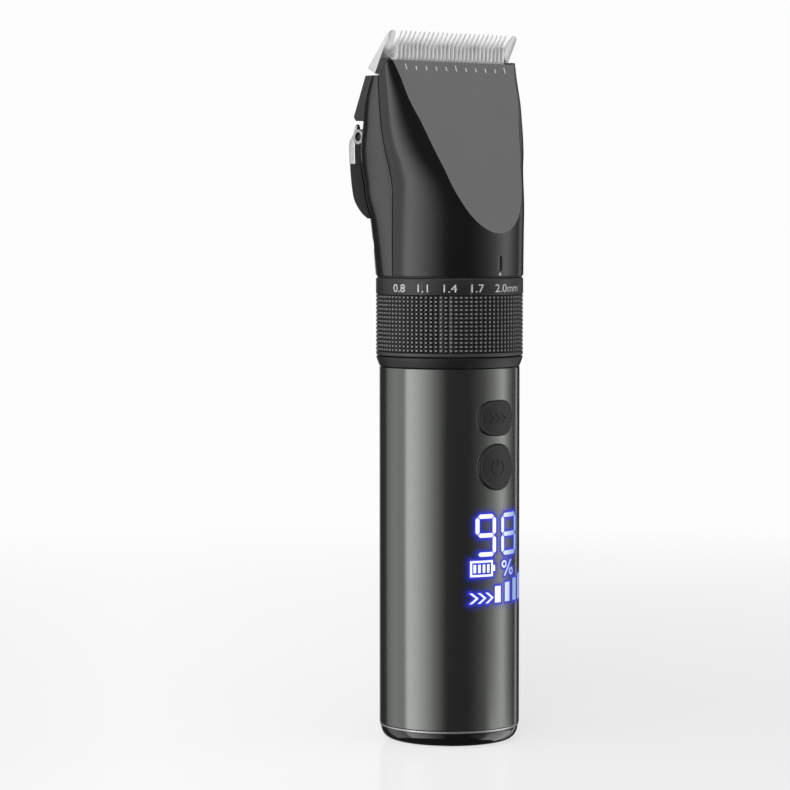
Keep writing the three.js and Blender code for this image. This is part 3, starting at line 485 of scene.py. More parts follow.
def make_leathery(name, dark, light, scale, depth, rough):
    """Spark-eroded mould texture: fine cells with soft edges."""
    material, tree, shader = new_material(name)
    vector = coordinates(tree)
    cells = add_node(tree, "TexVoronoi", {}, feature="SMOOTH_F1")
    feed(tree, cells, {"Scale": scale, "Vector": vector})
    height = remap(tree, cells.outputs["Distance"], 0, 1, 0.0, 0.8)
    feed(tree, shader, {
        "Base Color": blend_colors(tree, height, light, dark),
        "Roughness": remap(tree, noise(tree, vector, scale * 0.4), *rough),
        "Normal": bump(tree, height, 0.5, depth),
    })
    return material


def make_wear_and_sheen(name, dark, edge, rough, grain, depth):
    """Satin plastic, a little lighter on its sharp edges: partly rubbed wear, partly a painted edge
    highlight.
    """
    material, tree, shader = new_material(name)
    fine = noise(tree, coordinates(tree), grain, 3)
    # Lighter on convex edges found by pointiness: partly rubbed wear, partly a painted edge highlight.
    wear_and_sheen = remap(tree, add_node(tree, "NewGeometry", {}).outputs["Pointiness"], 0, 1, 0.5, 0.58)
    feed(tree, shader, {
        "Base Color": blend_colors(tree, wear_and_sheen, dark, edge),
        "Roughness": remap(tree, fine, *rough),
        "Normal": bump(tree, fine, 0.3, depth),
    })
    return material


def make_glow(name, color, strength, cell_color, far_color):
    """Lit segments: a faint cell pattern in the light, and a duller tone towards the right end."""
    material, tree, shader = new_material(name)
    vector = coordinates(tree)
    cell = remap(tree, noise(tree, vector, 1800, 2), 0, 1)
    split = add_node(tree, "SeparateXYZ", {"Vector": vector})
    across = remap(tree, split.outputs["X"], 0, 1, 0.0, 0.0065)
    lit = blend_colors(tree, cell, color, cell_color)
    feed(tree, shader, {
        "Base Color": (0.02, 0.02, 0.03, 1),
        "Emission Color": blend_colors(tree, across, lit, far_color),
        "Emission Strength": strength,
        "Roughness": 0.2,
    })
    return material


def make_halo():
    """Blue light spilling through the lacquer, as strong as the mesh's own spill layer says."""
    material, tree, shader = new_material("display_halo")
    spill = add_node(tree, "Attribute", {}, attribute_name="spill")
    uneven = remap(tree, noise(tree, coordinates(tree), 700, 2), 0.85, 1.0)
    feed(tree, shader, {
        "Alpha": multiply(tree, spill.outputs["Fac"], uneven),
        "Base Color": (0.0, 0.0, 0.0, 1),
        "Emission Color": (0.035, 0.045, 0.75, 1),
        "Emission Strength": 1.0,
    })
    return material


def make_board():
    """Solder mask with a hint of tracks."""
    material, tree, shader = new_material("board_green")
    vector = coordinates(tree)
    bricks = add_node(tree, "TexBrick", {
        "Scale": 260,
        "Mortar Size": 0.03,
        "Color1": (0.01, 0.09, 0.035, 1),
        "Color2": (0.012, 0.12, 0.045, 1),
        "Mortar": (0.05, 0.2, 0.08, 1),
        "Vector": vector,
    })
    feed(tree, shader, {
        "Base Color": bricks.outputs["Color"],
        "Roughness": remap(tree, noise(tree, vector, 900), 0.3, 0.5),
        "Normal": bump(tree, bricks.outputs["Fac"], 0.3, 0.00003),
    })
    return material


# moulded: name, dark tone, light tone, roughness range, grain scale, grain depth in metres
SHEEN = moulded("satin_gloss_black", (0.006, 0.006, 0.0065), (0.009, 0.009, 0.0095),
                (0.22, 0.27), 900, 0.000002, specular=0.8)
REAR_SHEEN = moulded("rear_gloss_black", (0.007, 0.007, 0.0075), (0.01, 0.01, 0.0105),
                     (0.16, 0.22), 900, 0.000004, specular=1.0, coat=0.6, coat_rough=0.15)
LEVER_BLACK = moulded("lever_black", (0.006, 0.006, 0.0065), (0.008, 0.008, 0.0085),
                      (0.18, 0.26), 900, 0.000003, specular=0.3)
GLOSS = moulded("polished_black", (0.006, 0.006, 0.0065), (0.009, 0.009, 0.0095),
                (0.13, 0.18), 260, 0.000004, coat=1.0, coat_rough=0.02, specular=0.6)
# Lighter grey for the knurl pad tops: a painted highlight where the pads catch the light.
PAD_HIGHLIGHT = moulded("pad_painted_highlight", (0.24, 0.24, 0.24), (0.34, 0.34, 0.34), (0.22, 0.3), 3000, 0.000006)
GREY = moulded("panel_grey", (0.135, 0.135, 0.135), (0.148, 0.148, 0.148), (0.5, 0.6), 5200, 0.00003)
RUBBER = moulded("button_charcoal", (0.014, 0.0145, 0.016), (0.018, 0.0185, 0.02),
                 (0.42, 0.55), 4200, 0.00002)
CHROME = moulded("satin_plating", (0.57, 0.57, 0.575), (0.63, 0.63, 0.635),
                 (0.22, 0.28), 700, 0.000002, metallic=0.7)
NATURAL = moulded("natural_plastic", (0.56, 0.56, 0.53), (0.64, 0.64, 0.61), (0.4, 0.55), 2500, 0.00002)
SLEEVE = moulded("battery_sleeve", (0.03, 0.1, 0.28), (0.045, 0.13, 0.34), (0.28, 0.4), 1500, 0.00001)
PRINT = moulded("white_print", (0.62, 0.62, 0.62), (0.78, 0.78, 0.78), (0.45, 0.6), 3500, 0.000004)
# worn-edge material: name, tone, lighter edge tone (rubbed wear and painted edge highlight), roughness
# range, grain scale, grain depth in metres
SATIN = make_wear_and_sheen("satin_black", (0.013, 0.013, 0.0135), (0.03, 0.03, 0.03), (0.36, 0.46), 3000, 0.00001)
KNURL = make_wear_and_sheen("knurl_black", (0.008, 0.008, 0.0085), (0.075, 0.075, 0.075),
                  (0.3, 0.42), 4000, 0.00001)
# make_steel: name, tone, direction and fineness of the lines, roughness range, metallic
BLADE = make_steel("ground_steel", (0.9, 0.9, 0.9), (900, 60, 60), (0.26, 0.36), 0.5)
STRIP = make_steel("bright_strip", (0.86, 0.86, 0.88), (80, 900, 900), (0.14, 0.26))
ZINC = make_steel("zinc_steel", (0.62, 0.62, 0.63), (500, 500, 900), (0.25, 0.42))
# Dark steel for the pin ends: painted shade standing in for the dark hole inside the lever eye.
PIN_SHADE_STEEL = make_steel("pin_steel_painted_shade", (0.05, 0.05, 0.052), (500, 500, 500), (0.3, 0.42))
BRASS = make_steel("plated_brass", (0.8, 0.62, 0.32), (600, 600, 600), (0.2, 0.35))
TUBE_LOOK = make_gunmetal()
TEXTURED = make_leathery("eroded_black", (0.018, 0.018, 0.019), (0.034, 0.034, 0.035), 2600, 0.00006,
                         (0.42, 0.55))
BOARD = make_board()
WHITE_LIGHT = make_glow("lit_white", (0.93, 0.96, 1.0), 1.2, (0.85, 0.9, 1.0), (0.25, 0.36, 0.52))
HALO = make_halo()


# ---------------------------------------------------------------- base
SHANK_R = 0.95
FLAT_R = 15.0
FLARE = 2.7
RIM_Z = 3.5
SPIGOT_R = 16.2


def make_cap():
    """Base with a flat underside, a quarter-round flare and a spigot that enters the tube."""
    low, high = CAP_LOW[2], CAP_HIGH[2]
    profile = [(0, low), (14.4, low), (FLAT_R, low + 0.04)]
    for i in range(1, 13):
        angle = math.pi / 2 * i / 12
        z = RIM_Z * (1 - math.cos(angle)) + 0.04 * (1 - i / 12)
        profile.append((FLAT_R + FLARE * math.sin(angle), z))
    profile += [(17.6, RIM_Z + 0.02), (SPIGOT_R, RIM_Z + 0.02), (SPIGOT_R, high), (0, high)]
    obj = object_from("end_cap_shell", bm_from(*lathe(profile, 160)))
    holes = [hole("charging_jack", 0.2, 9.0)]
    holes += [hole(name, 0.15, 1.4) for name in ("contact_pad_left", "contact_pad_right")]
    holes += [hole(name, 0.2, 2.1) for name in ("cap_screw_left", "cap_screw_right")]
    carve(obj, "DIFFERENCE", *holes)
    soften(obj, 0.12, 2, 50)
    dress(obj, GLOSS, "root", ["end_cap"])

    z0, z1 = TRIM_LOW[2], TRIM_HIGH[2]
    outer = TRIM_HIGH[0]
    ring = rounded([(16.5, z0), (outer, z0), (outer, z1), (16.5, z1)], 0.24)
    piece("trim_hoop", lathe(ring, 192), CHROME, "root", ["trim_ring"], angle=80)
    for name in ("cap_screw_left", "cap_screw_right"):
        make_screw(name, "z")


def placed(shape, x, y):
    verts, faces = shape
    return [(vx + x, vy + y, vz) for vx, vy, vz in verts], faces


def hole(node, grow, top):
    """Drill for one fitting in the base, from below up to the given height."""
    low, high = node_box(node)
    r = (high[1] - low[1]) / 2 + grow
    drill = lathe([(0, -1), (r, -1), (r, top), (0, top)], 40)
    return placed(drill, (low[0] + high[0]) / 2, (low[1] + high[1]) / 2)


def make_screw(node, axis):
    """A pan head with a cross recess, over the CAD screw's head; the head looks along -Z or +Y."""
    low, high = node_box(node)
    r = (high[0] - low[0]) / 2
    x = (low[0] + high[0]) / 2
    if axis == "z":
        centre = Vector((x, (low[1] + high[1]) / 2, low[2]))
        turn = Matrix.Identity(3)
        depth = high[2] - low[2]
    else:
        centre = Vector((x, high[1], (low[2] + high[2]) / 2))
        turn = Matrix.Rotation(math.radians(90), 3, "X")
        depth = high[1] - low[1]

    def turned(shape):
        return [tuple(turn @ Vector(v) + centre) for v in shape[0]], shape[1]

    profile = [
        (0, 0.06), (r * 0.6, 0.0), (r * 0.92, 0.2), (r, 0.5), (r, 1.35),
        (SHANK_R, 1.4), (SHANK_R, depth), (0, depth),
    ]
    obj = object_from(f"{node}_pan", bm_from(*turned(lathe(profile, 48))))
    for size in ((0.95, 0.19), (0.19, 0.95)):
        x, y = size[0] * r * 0.75, size[1] * r * 0.75
        carve(obj, "DIFFERENCE", turned(box_mesh(-x, x, -y, y, -0.3, 0.8)))
    dress(obj, ZINC, "root", [node])


# ---------------------------------------------------------------- handle
ROUND_POWER = 2.1
FLAT_POWER = 2.8
BUTTON_SIDES = 96
BUTTON_GAP = 0.12
RIM_R = 0.12
CROWN_R = 18.3
TUBE_WALL = 1.4
ICON_R = 1.95
ICON_LINE_R = 0.13


def button_outline(half_height, grow):
    """Points (x, z) of a rounded button face: a circle when it is as high as it is wide."""
    r = BUTTON_R + grow
    half = half_height + grow
    power = ROUND_POWER if half_height > BUTTON_R - 0.01 else FLAT_POWER
    points = []
    for i in range(BUTTON_SIDES):
        angle = TAU * i / BUTTON_SIDES
        c = math.cos(angle)
        s = math.sin(angle)
        reach = 1 / ((abs(c) / r) ** power + (abs(s) / half) ** power) ** (1 / power)
        points.append((reach * c, reach * s))
    return points


def on_tube(x, z, radius):
    x = max(min(x, radius), -radius)
    return (x, -math.sqrt(radius * radius - x * x), z)


def wrapped(s, z, radius):
    """A point at arc length s from the front centre, on a cylinder."""
    return (*polar(radius, s / radius - math.pi / 2), z)


def make_tube():
    z0, z1 = TUBE_LOW[2], TUBE_HIGH[2]
    inner = TUBE_R - TUBE_WALL
    profile = rounded([(inner, z0), (TUBE_R, z0), (TUBE_R, z1), (inner, z1)], 0.22)
    obj = object_from("handle_tube", bm_from(*lathe(profile, 256)))
    for centre, half in ((POWER_Z, BUTTON_R), (TURBO_Z, TURBO_HALF)):
        outline = button_outline(half, BUTTON_GAP)
        rings = [[(x, y, z + centre) for x, z in outline] for y in (-24, -10)]
        carve(obj, "DIFFERENCE", loft(rings))
    dress(obj, TUBE_LOOK, "root", ["body_tube"], angle=50)
    for name, centre, half in (("power_rim", POWER_Z, BUTTON_R), ("turbo_rim", TURBO_Z, TURBO_HALF)):
        outline = button_outline(half, BUTTON_GAP + 0.08)
        path = [on_tube(x, z + centre, TUBE_R - 0.06) for x, z in outline]
        piece(name, sweep(path, RIM_R, 10, True), TUBE_LOOK, "root", angle=80)


def make_button(name, body, centre, half):
    """Crowned cap with a rounded shoulder and a shallow step inside its edge."""
    steps = [(0.3, 0.0), (0.6, 0.0), (0.8, 0.0), (0.86, 0.0), (0.885, 0.03), (0.91, 0.1),
             (0.935, 0.11), (0.955, 0.09), (0.975, -0.02), (0.99, -0.2), (1.0, -0.45), (1.0, -2.4)]
    ring = button_outline(half, 0)
    rings = []
    for scale, lift in steps:
        rings.append([on_tube(x * scale, z * scale + centre, CROWN_R + lift) for x, z in ring])
    verts, faces = loft(rings, closed_ends=False)
    count = len(rings[0])
    front = len(verts)
    verts.append(on_tube(0, centre, CROWN_R))
    back = len(verts)
    verts.append((0, -15.4, centre))
    last = (len(rings) - 1) * count
    for i in range(count):
        j = (i + 1) % count
        faces.append((j, i, front))
        faces.append((last + i, last + j, back))
    low, high = node_box(body)
    flange = box_mesh(low[0], high[0], -14.5, -13.5, low[2] + 0.2, high[2] - 0.2)
    stem_path = [(0, -15.6, centre), (0, high[1], centre)]
    shape = merge((verts, faces), flange, sweep(stem_path, 1.6, 24))
    piece(f"{name}_cap", shape, RUBBER, body, [body], angle=45)


def icon_on_button(name, body, centre, strokes):
    parts = []
    for stroke in strokes:
        parts.append(sweep([on_tube(x, centre + z, CROWN_R + 0.01) for x, z in stroke], ICON_LINE_R, 8))
    piece(name, merge(*parts), RUBBER, body, angle=80)


def make_buttons():
    make_button("power", "power_button", POWER_Z, BUTTON_R)
    make_button("turbo", "turbo_button", TURBO_Z, TURBO_HALF)
    arc = []
    for i in range(25):
        angle = math.radians(125 + 290 * i / 24)
        arc.append((ICON_R * math.cos(angle), ICON_R * math.sin(angle) - 0.1))
    stem = [(0, 0.2 + 0.45 * i) for i in range(5)]
    icon_on_button("power_icon", "power_button", POWER_Z, [arc, stem])
    chevrons = []
    for shift in (-2.6, -0.7, 1.2):
        corners = ((0.0, 1.1), (0.7, 0.55), (1.4, 0.0), (0.7, -0.55), (0.0, -1.1))
        chevrons.append([(shift + x, z) for x, z in corners])
    icon_on_button("turbo_icon", "turbo_button", TURBO_Z, chevrons)


# ---------------------------------------------------------------- lit display
SEGMENT_WIDTH = 1.08
SEGMENT_CUT = 0.2
DIGIT_LOW = 48.4
DIGIT_HIGH = 59.1
SPILL_STEP = 0.16
SPILL_NEAR = 0.5
SPILL_FAR = 1.3


def segment(s0, s1, z0, z1, horizontal):
    """Outline of one display segment with pointed ends, in (arc length, z)."""
    h = SEGMENT_WIDTH / 2
    cut = SEGMENT_CUT
    if horizontal:
        z = (z0 + z1) / 2
        return [(s0 + cut, z), (s0 + h + cut, z + h), (s1 - h - cut, z + h), (s1 - cut, z),
                (s1 - h - cut, z - h), (s0 + h + cut, z - h)]
    s = (s0 + s1) / 2
    return [(s, z0 + cut), (s + h, z0 + h + cut), (s + h, z1 - h - cut), (s, z1 - cut),
            (s - h, z1 - h - cut), (s - h, z0 + h + cut)]


def digit(s0, s1, z0, z1, lit):
    middle = (z0 + z1) / 2
    t = SEGMENT_WIDTH
    h = t / 2
    shapes = {
        "top": segment(s0 + h, s1 - h, z1 - t, z1, True),
        "middle": segment(s0 + h, s1 - h, middle - h, middle + h, True),
        "bottom": segment(s0 + h, s1 - h, z0, z0 + t, True),
        "upper_left": segment(s0, s0 + t, middle, z1 - h, False),
        "upper_right": segment(s1 - t, s1, middle, z1 - h, False),
        "lower_left": segment(s0, s0 + t, z0 + h, middle, False),
        "lower_right": segment(s1 - t, s1, z0 + h, middle, False),
    }
    return [shapes[name] for name in lit]


def ring_bars(s0, s1, z0, z1, t):
    """Four bars that frame a rectangle."""
    return [
        [(s0, z0), (s1, z0), (s1, z0 + t), (s0, z0 + t)],
        [(s0, z1 - t), (s1, z1 - t), (s1, z1), (s0, z1)],
        [(s0, z0 + t), (s0 + t, z0 + t), (s0 + t, z1 - t), (s0, z1 - t)],
        [(s1 - t, z0 + t), (s1, z0 + t), (s1, z1 - t), (s1 - t, z1 - t)],
    ]


def disc_bars(s, z, outer, inner):
    shapes = []
    count = 14
    for i in range(count):
        a = TAU * i / count
        b = TAU * (i + 1) / count
        shapes.append([(s + r * math.cos(t), z + r * math.sin(t)) for r, t in
                       ((inner, a), (outer, a), (outer, b), (inner, b))])
    return shapes


def display_shapes():
    nine = ("top", "upper_left", "upper_right", "middle", "lower_right", "bottom")
    eight = nine + ("lower_left",)
    shapes = digit(-6.55, -0.45, DIGIT_LOW, DIGIT_HIGH, nine)
    shapes += digit(1.45, 8.5, DIGIT_LOW, DIGIT_HIGH, eight)
    shapes += ring_bars(-8.0, -1.45, 43.3, 47.4, 0.55)
    shapes.append([(-1.45, 44.6), (-0.75, 44.6), (-0.75, 46.1), (-1.45, 46.1)])
    for i in range(4):
        s = -7.1 + 1.28 * i
        shapes.append([(s, 44.3), (s + 0.72, 44.3), (s + 0.72, 46.4), (s, 46.4)])
    shapes.append([(2.45, 43.1), (3.05, 43.1), (5.85, 47.1), (5.25, 47.1)])
    shapes += disc_bars(2.6, 46.1, 1.0, 0.5) + disc_bars(5.7, 44.1, 1.0, 0.5)
    for i in range(3):
        s = -8.2 + 2.25 * i
        shapes.append([(s, 39.2), (s + 0.75, 39.2), (s + 2.5, 37.85), (s + 1.75, 37.85)])
        shapes.append([(s + 1.75, 37.85), (s + 2.5, 37.85), (s + 0.75, 36.5), (s, 36.5)])
    for i in range(4):
        s = -0.75 + 3.7 * i
        shapes.append([(s, 36.5), (s + 2.0, 36.5), (s + 2.0, 40.65 + 0.75 * i), (s, 40.65 + 0.75 * i)])
    return shapes


def curved_plate(outline, radius, depth):
    """A thin plate on the cylinder: the outline is split along the arc so that it follows the curve."""
    verts = []
    faces = []
    low = min(s for s, _ in outline)
    high = max(s for s, _ in outline)
    parts = max(1, math.ceil((high - low) / 0.7))
    bm = bmesh.new()
    made = [bm.verts.new((s, z, 0)) for s, z in outline]
    bm.faces.new(made)
    for k in range(1, parts):
        s = low + (high - low) * k / parts
        geom = bm.verts[:] + bm.edges[:] + bm.faces[:]
        bmesh.ops.bisect_plane(bm, geom=geom, plane_co=(s, 0, 0), plane_no=(1, 0, 0))
    bmesh.ops.remove_doubles(bm, verts=bm.verts[:], dist=1e-5)
    bm.verts.index_update()
    count = len(bm.verts)
    for r in (radius, radius - depth):
        verts += [wrapped(v.co.x, v.co.y, r) for v in bm.verts]
    for face in bm.faces:
        ring = [v.index for v in face.verts]
        faces.append(tuple(ring))
        faces.append(tuple(i + count for i in reversed(ring)))
    for edge in bm.edges:
        if len(edge.link_faces) == 1:
            a, b = edge.verts[0].index, edge.verts[1].index
            faces.append((a, b, b + count, a + count))
    bm.free()
    return verts, faces


def distance_to(shape, s, z):
    """Distance from a point to a convex outline, zero inside it."""
    best = 1e9
    inside = True
    sign = 0
    for (s0, z0), (s1, z1) in zip(shape, shape[1:] + shape[:1]):
        ds, dz = s1 - s0, z1 - z0
        t = max(0, min(1, ((s - s0) * ds + (z - z0) * dz) / (ds * ds + dz * dz)))
        best = min(best, math.hypot(s - s0 - t * ds, z - z0 - t * dz))
        turn = ds * (z - z0) - dz * (s - s0)
        if turn * sign < 0:
            inside = False
        if abs(turn) > 1e-9:
            sign = math.copysign(1, turn)
    return 0.0 if inside else best


def make_display():
    """Lit segments, and an open sheet round them that carries the light they spill."""
    shapes = display_shapes()
    lit = merge(*[curved_plate(shape, TUBE_R + 0.035, 0.02) for shape in shapes])
    piece("lit_segments", lit, WHITE_LIGHT, "root")

    s0, s1, z0, z1 = -10.4, 13.2, 34.4, 61.2
    columns = round((s1 - s0) / SPILL_STEP) + 1
    rows = round((z1 - z0) / SPILL_STEP) + 1
    verts = []
    spill = []
    for j in range(rows):
        for i in range(columns):
            s = s0 + i * SPILL_STEP
            z = z0 + j * SPILL_STEP
            d = min(distance_to(shape, s, z) for shape in shapes)
            verts.append(wrapped(s, z, TUBE_R + 0.012))
            glow = 0.85 * math.exp(-((d / SPILL_NEAR) ** 2)) + 0.2 * math.exp(-((d / SPILL_FAR) ** 2))
            spill.append(glow)
    obj = object_from("display_spill", bm_from(verts, grid_faces(rows, columns, False)))
    layer = obj.data.attributes.new("spill", "FLOAT", "POINT")
    layer.data.foreach_set("value", [value if value > 0.01 else 0.0 for value in spill])
    dress(obj, HALO, "root")


# ---------------------------------------------------------------- neck and adjusting ring
def make_neck():
    z0, z1 = NECK_LOW[2], NECK_HIGH[2]
    collar = [
        (15.2, z0), (16.3, z0), (16.3, 95.9), (17.75, 95.9), (18.02, 96.1), (18.55, 97.55), (18.78, 98.25),
        (18.72, 98.5), (18.5, 98.58), (16.9, 98.6), (16.9, z1), (15.2, z1),
    ]
    obj = object_from("neck_sleeve", bm_from(*lathe(rounded(collar, 0.12, 3), 192)))
    dress(obj, SATIN, "root", ["neck_collar"], angle=50)
    low, high = z1 - 0.13, z1 + 0.24
    washer = rounded([(16.4, low), (18.62, low), (18.62, high), (16.4, high)], 0.08, 2)
    piece("neck_washer", lathe(washer, 128), SATIN, "root", angle=50)


KNURL_FLOOR = 18.5
KNURL_RISE = 0.36
KNURL_LOW = 99.9
KNURL_HIGH = 114.3
BAND_R = 18.86
NUMBER_Z = 115.15
NUMBER_HEIGHT = 2.05
NUMBER_TURN = 21.5


def make_ring():
    """Ring with rows of raised pads between a plain lower edge and the band for the numbers."""
    columns, rows, per = 92, 14, 6
    sides = columns * per
    z0, z1 = RING_LOW[2], RING_HIGH[2]
    levels = [(z0, 18.2, 0), (z0 + 0.02, 18.6, 0), (z0 + 0.16, 18.8, 0),
              (z0 + 0.8, 18.84, 0), (z0 + 0.95, 18.74, 0)]
    count = rows * per
    for j in range(count + 1):
        levels.append((KNURL_LOW + (KNURL_HIGH - KNURL_LOW) * j / count, KNURL_FLOOR, (j % per) / per))
    band = [(114.36, 18.66), (114.42, 18.8), (114.5, BAND_R), (114.7, BAND_R), (118.2, BAND_R),
            (118.36, 18.82), (118.6, 18.58), (z1, 18.3), (z1, 17.25), (113.0, 17.2), (z0, 17.25)]
    levels += [(z, r, 0) for z, r in band]
    verts = []
    for z, r, phase in levels:
        pad_v = max(0.0, 1 - abs(2 * phase - 1) ** 2.6) if phase else 0.0
        for i in range(sides):
            pad_u = max(0.0, 1 - abs(2 * ((i % per) / per) - 1) ** 2.6)
            verts.append((*polar(r + KNURL_RISE * pad_u * pad_v, TAU * i / sides), z))
    obj = object_from("length_ring", bm_from(verts, grid_faces(len(levels), sides, True, looped=True)))
    dress(obj, KNURL, "adjusting_ring", ["adjusting_ring"], angle=60)
    # The pad tops take this second, lighter material: a painted highlight on each pad.
    obj.data.materials.append(PAD_HIGHLIGHT)
    top = (KNURL_FLOOR + KNURL_RISE * 0.9) * MM
    for polygon in obj.data.polygons:
        x, y, z = polygon.center
        if math.hypot(x, y) > top and KNURL_LOW < z / MM < KNURL_HIGH:
            polygon.material_index = 1


def text_outline(text, height):
    """Flat mesh of a short generic number, as verts and faces."""
    curve = bpy.data.curves.new("number", "FONT")
    curve.body = text
    curve.size = height / 0.72
    curve.resolution_u = 5
    holder = bpy.data.objects.new("number", curve)
    show(holder)
    bpy.context.view_layer.update()
    mesh = bpy.data.meshes.new_from_object(holder.evaluated_get(bpy.context.evaluated_depsgraph_get()))
    verts = [tuple(v.co) for v in mesh.vertices]
    faces = [tuple(p.vertices) for p in mesh.polygons]
    bpy.data.objects.remove(holder)
    bpy.data.curves.remove(curve)
    bpy.data.meshes.remove(mesh)
    return verts, faces


def make_numbers():
    for i, text in enumerate(("2.0", "1.7", "1.4", "1.1", "0.8")):
        verts, faces = text_outline(text, NUMBER_HEIGHT)
        middle = (min(v[0] for v in verts) + max(v[0] for v in verts)) / 2
        if i == 0:
            unit_verts, unit_faces = text_outline("mm", NUMBER_HEIGHT)
            start = max(v[0] for v in verts) + 0.15
            shifted = [(x + start, y, z) for x, y, z in unit_verts]
            verts, faces = merge((verts, faces), (shifted, unit_faces))
        centre = math.radians(1.3 - NUMBER_TURN * i) * RING_R
        bent = [wrapped((x - middle) * 1.2 + centre, y + NUMBER_Z, BAND_R + 0.015) for x, y, _ in verts]
        obj = object_from(f"number_{i}", bm_from(bent, faces))
        modifier = obj.modifiers.new("print", "SOLIDIFY")
        modifier.thickness = 0.03 * MM
        apply_modifiers(obj)
        dress(obj, PRINT, "adjusting_ring")


# ---------------------------------------------------------------- head
def cut_above(bm, point, normal):
    geom = bm.verts[:] + bm.edges[:] + bm.faces[:]
    bmesh.ops.bisect_plane(bm, geom=geom, plane_co=Vector(point) * MM, plane_no=normal, clear_outer=True)


def shell_surface(front, top):
    """Outer skin of one half of the head, from the seam round to the seam."""
    levels = 96
    columns = 150
    verts = []
    for j in range(levels + 1):
        z = HEAD_BASE + (top - HEAD_BASE) * j / levels
        y = on_line(SEAM_POINTS, z) + (-SEAM_GAP if front else SEAM_GAP) / 2
        start = seam_angle(z, y)
        first, last = (math.pi - start, TAU + start) if front else (start, math.pi - start)
        for i in range(columns + 1):
            verts.append(head_point(z, first + (last - first) * i / columns))
    return bm_from(verts, grid_faces(levels + 1, columns + 1, False))


DOT_R = 0.36
DOT_Z = 119.66


def make_shells():
    bm = shell_surface(True, HEAD_FRONT_TOP)
    cut_above(bm, (0, PANEL_TIP[0], PANEL_TIP[1]), PANEL_NORMAL)
    cut_above(bm, (0, *SLOPE_FRONT), SLOPE_NORMAL)
    front = object_from("front_housing", bm)
    thicken(front, SHELL_WALL)
    rings = [[(x, y, z) for x, z in rounded_slot(0.6, 120.3, 124.3)] for y in (-22, -18.55)]
    carve(front, "DIFFERENCE", loft(rings))
    soften(front, 0.14, 2)
    dress(front, SHEEN, "root", ["front_shell"], angle=32)

    rear = object_from("rear_housing", shell_surface(False, HEAD_REAR_TOP))
    thicken(rear, SHELL_WALL)
    for node in ("shell_screw_left", "shell_screw_right"):
        low, high = node_box(node)
        path = [((low[0] + high[0]) / 2, y, (low[2] + high[2]) / 2) for y in (9.0, 20.0)]
        carve(rear, "DIFFERENCE", sweep(path, 2.1, 32))
    soften(rear, 0.14, 2)
    dress(rear, REAR_SHEEN, "root", ["rear_shell"], angle=32)

    dot = []
    for i in range(20):
        angle = TAU * i / 20
        dot.append((DOT_R * math.cos(angle), DOT_Z + DOT_R * math.sin(angle)))
    plate = curved_plate(dot, 18.89, 0.05)
    piece("index_point", plate, PRINT, "root")


def rounded_slot(half, z0, z1):
    points = []
    steps = 8
    for centre, first in ((z1 - half, 0.0), (z0 + half, math.pi)):
        for i in range(steps + 1):
            angle = first + math.pi * i / steps
            points.append((half * math.cos(angle), centre + half * math.sin(angle)))
    return points


def panel_y(z):
    return PANEL_TIP[0] + (z - PANEL_TIP[1]) * math.tan(PANEL_LEAN)


def panel_half_width(z):
    """Half width of the flat at height z, where the leaning plane meets the head's skin."""
    half, _, depth, power, _ = head_form(z)
    return half * max(1 - (abs(panel_y(z)) / depth) ** power, 0) ** (1 / power)


TICK_PITCH = 3.4
TICK_Z = 171.0


def make_panel():
    low = next(z / 50 for z in range(6400, 7000) if panel_half_width(z / 50) > 0) + 0.02
    rows, columns = 90, 24
    top = SLOPE_FRONT[1]
    verts = []
    for j in range(rows + 1):
        z = low + (top - low) * (1 - math.cos(math.pi / 2 * j / rows))
        half = max(panel_half_width(z) - 0.04, 0.02)
        for i in range(columns + 1):
            verts.append((half * math.sin(math.pi * (i / columns - 0.5)), panel_y(z), z))
    obj = object_from("grey_panel", bm_from(verts, grid_faces(rows + 1, columns + 1, False)))
    if obj.data.polygons[len(obj.data.polygons) // 2].normal.dot(PANEL_NORMAL) < 0:
        obj.data.flip_normals()
    thicken(obj, 0.8)
    soften(obj, 0.1, 2, 50)
    dress(obj, GREY, "root", ["front_panel"])
    ticks = [panel_tick(TICK_PITCH * (i - 5), 1.5 if i % 5 == 0 else 1.0) for i in range(11)]
    piece("panel_ticks", merge(*ticks), PRINT, "root")


def panel_tick(x, height):
    """A thin upright mark printed on the panel."""
    half = 0.16
    low, high = TICK_Z, TICK_Z + height
    corners = [(x - half, low), (x + half, low), (x + half, high), (x - half, high)]
    on_panel = [Vector((cx, panel_y(cz), cz)) for cx, cz in corners]
    return loft([[tuple(point + PANEL_NORMAL * lift) for point in on_panel] for lift in (-0.1, 0.02)])





def lever_outer(x, z):
    edge = curve_value(LEVER_EDGE, z, 1)
    crown = curve_value(LEVER_EDGE, z, 2)
    return edge + crown * (1 - (x / LEVER_HALF) ** 2)


def make_cover():
    """Angular grip block behind the top of the head."""
    count = 28
    rings = []
    for z in [158.5, 158.7, 159.5] + [160.5 + 1.175 * i for i in range(8)] + [169.75, 169.9]:
        edge = on_line(COVER_EDGE, z)
        ring = []
        for i in range(count + 1):
            x = COVER_HALF * (2 * i / count - 1)
            ring.append((x, edge + 2.4 * (1 - (x / COVER_HALF) ** 2), z))
        for i in range(count + 1):
            x = COVER_HALF * (1 - 2 * i / count)
            ring.append((x, rear_depth(x, min(z, HEAD_REAR_TOP)) - 0.35, z))
        rings.append(ring)
    obj = object_from("grip_block", bm_from(*loft(rings)))
    soften(obj, 0.35, 3, 30)
    dress(obj, TEXTURED, "root", ["latch_cover"], angle=30)


LEVER_WALL = 1.4
LEVER_CLEAR = 0.35


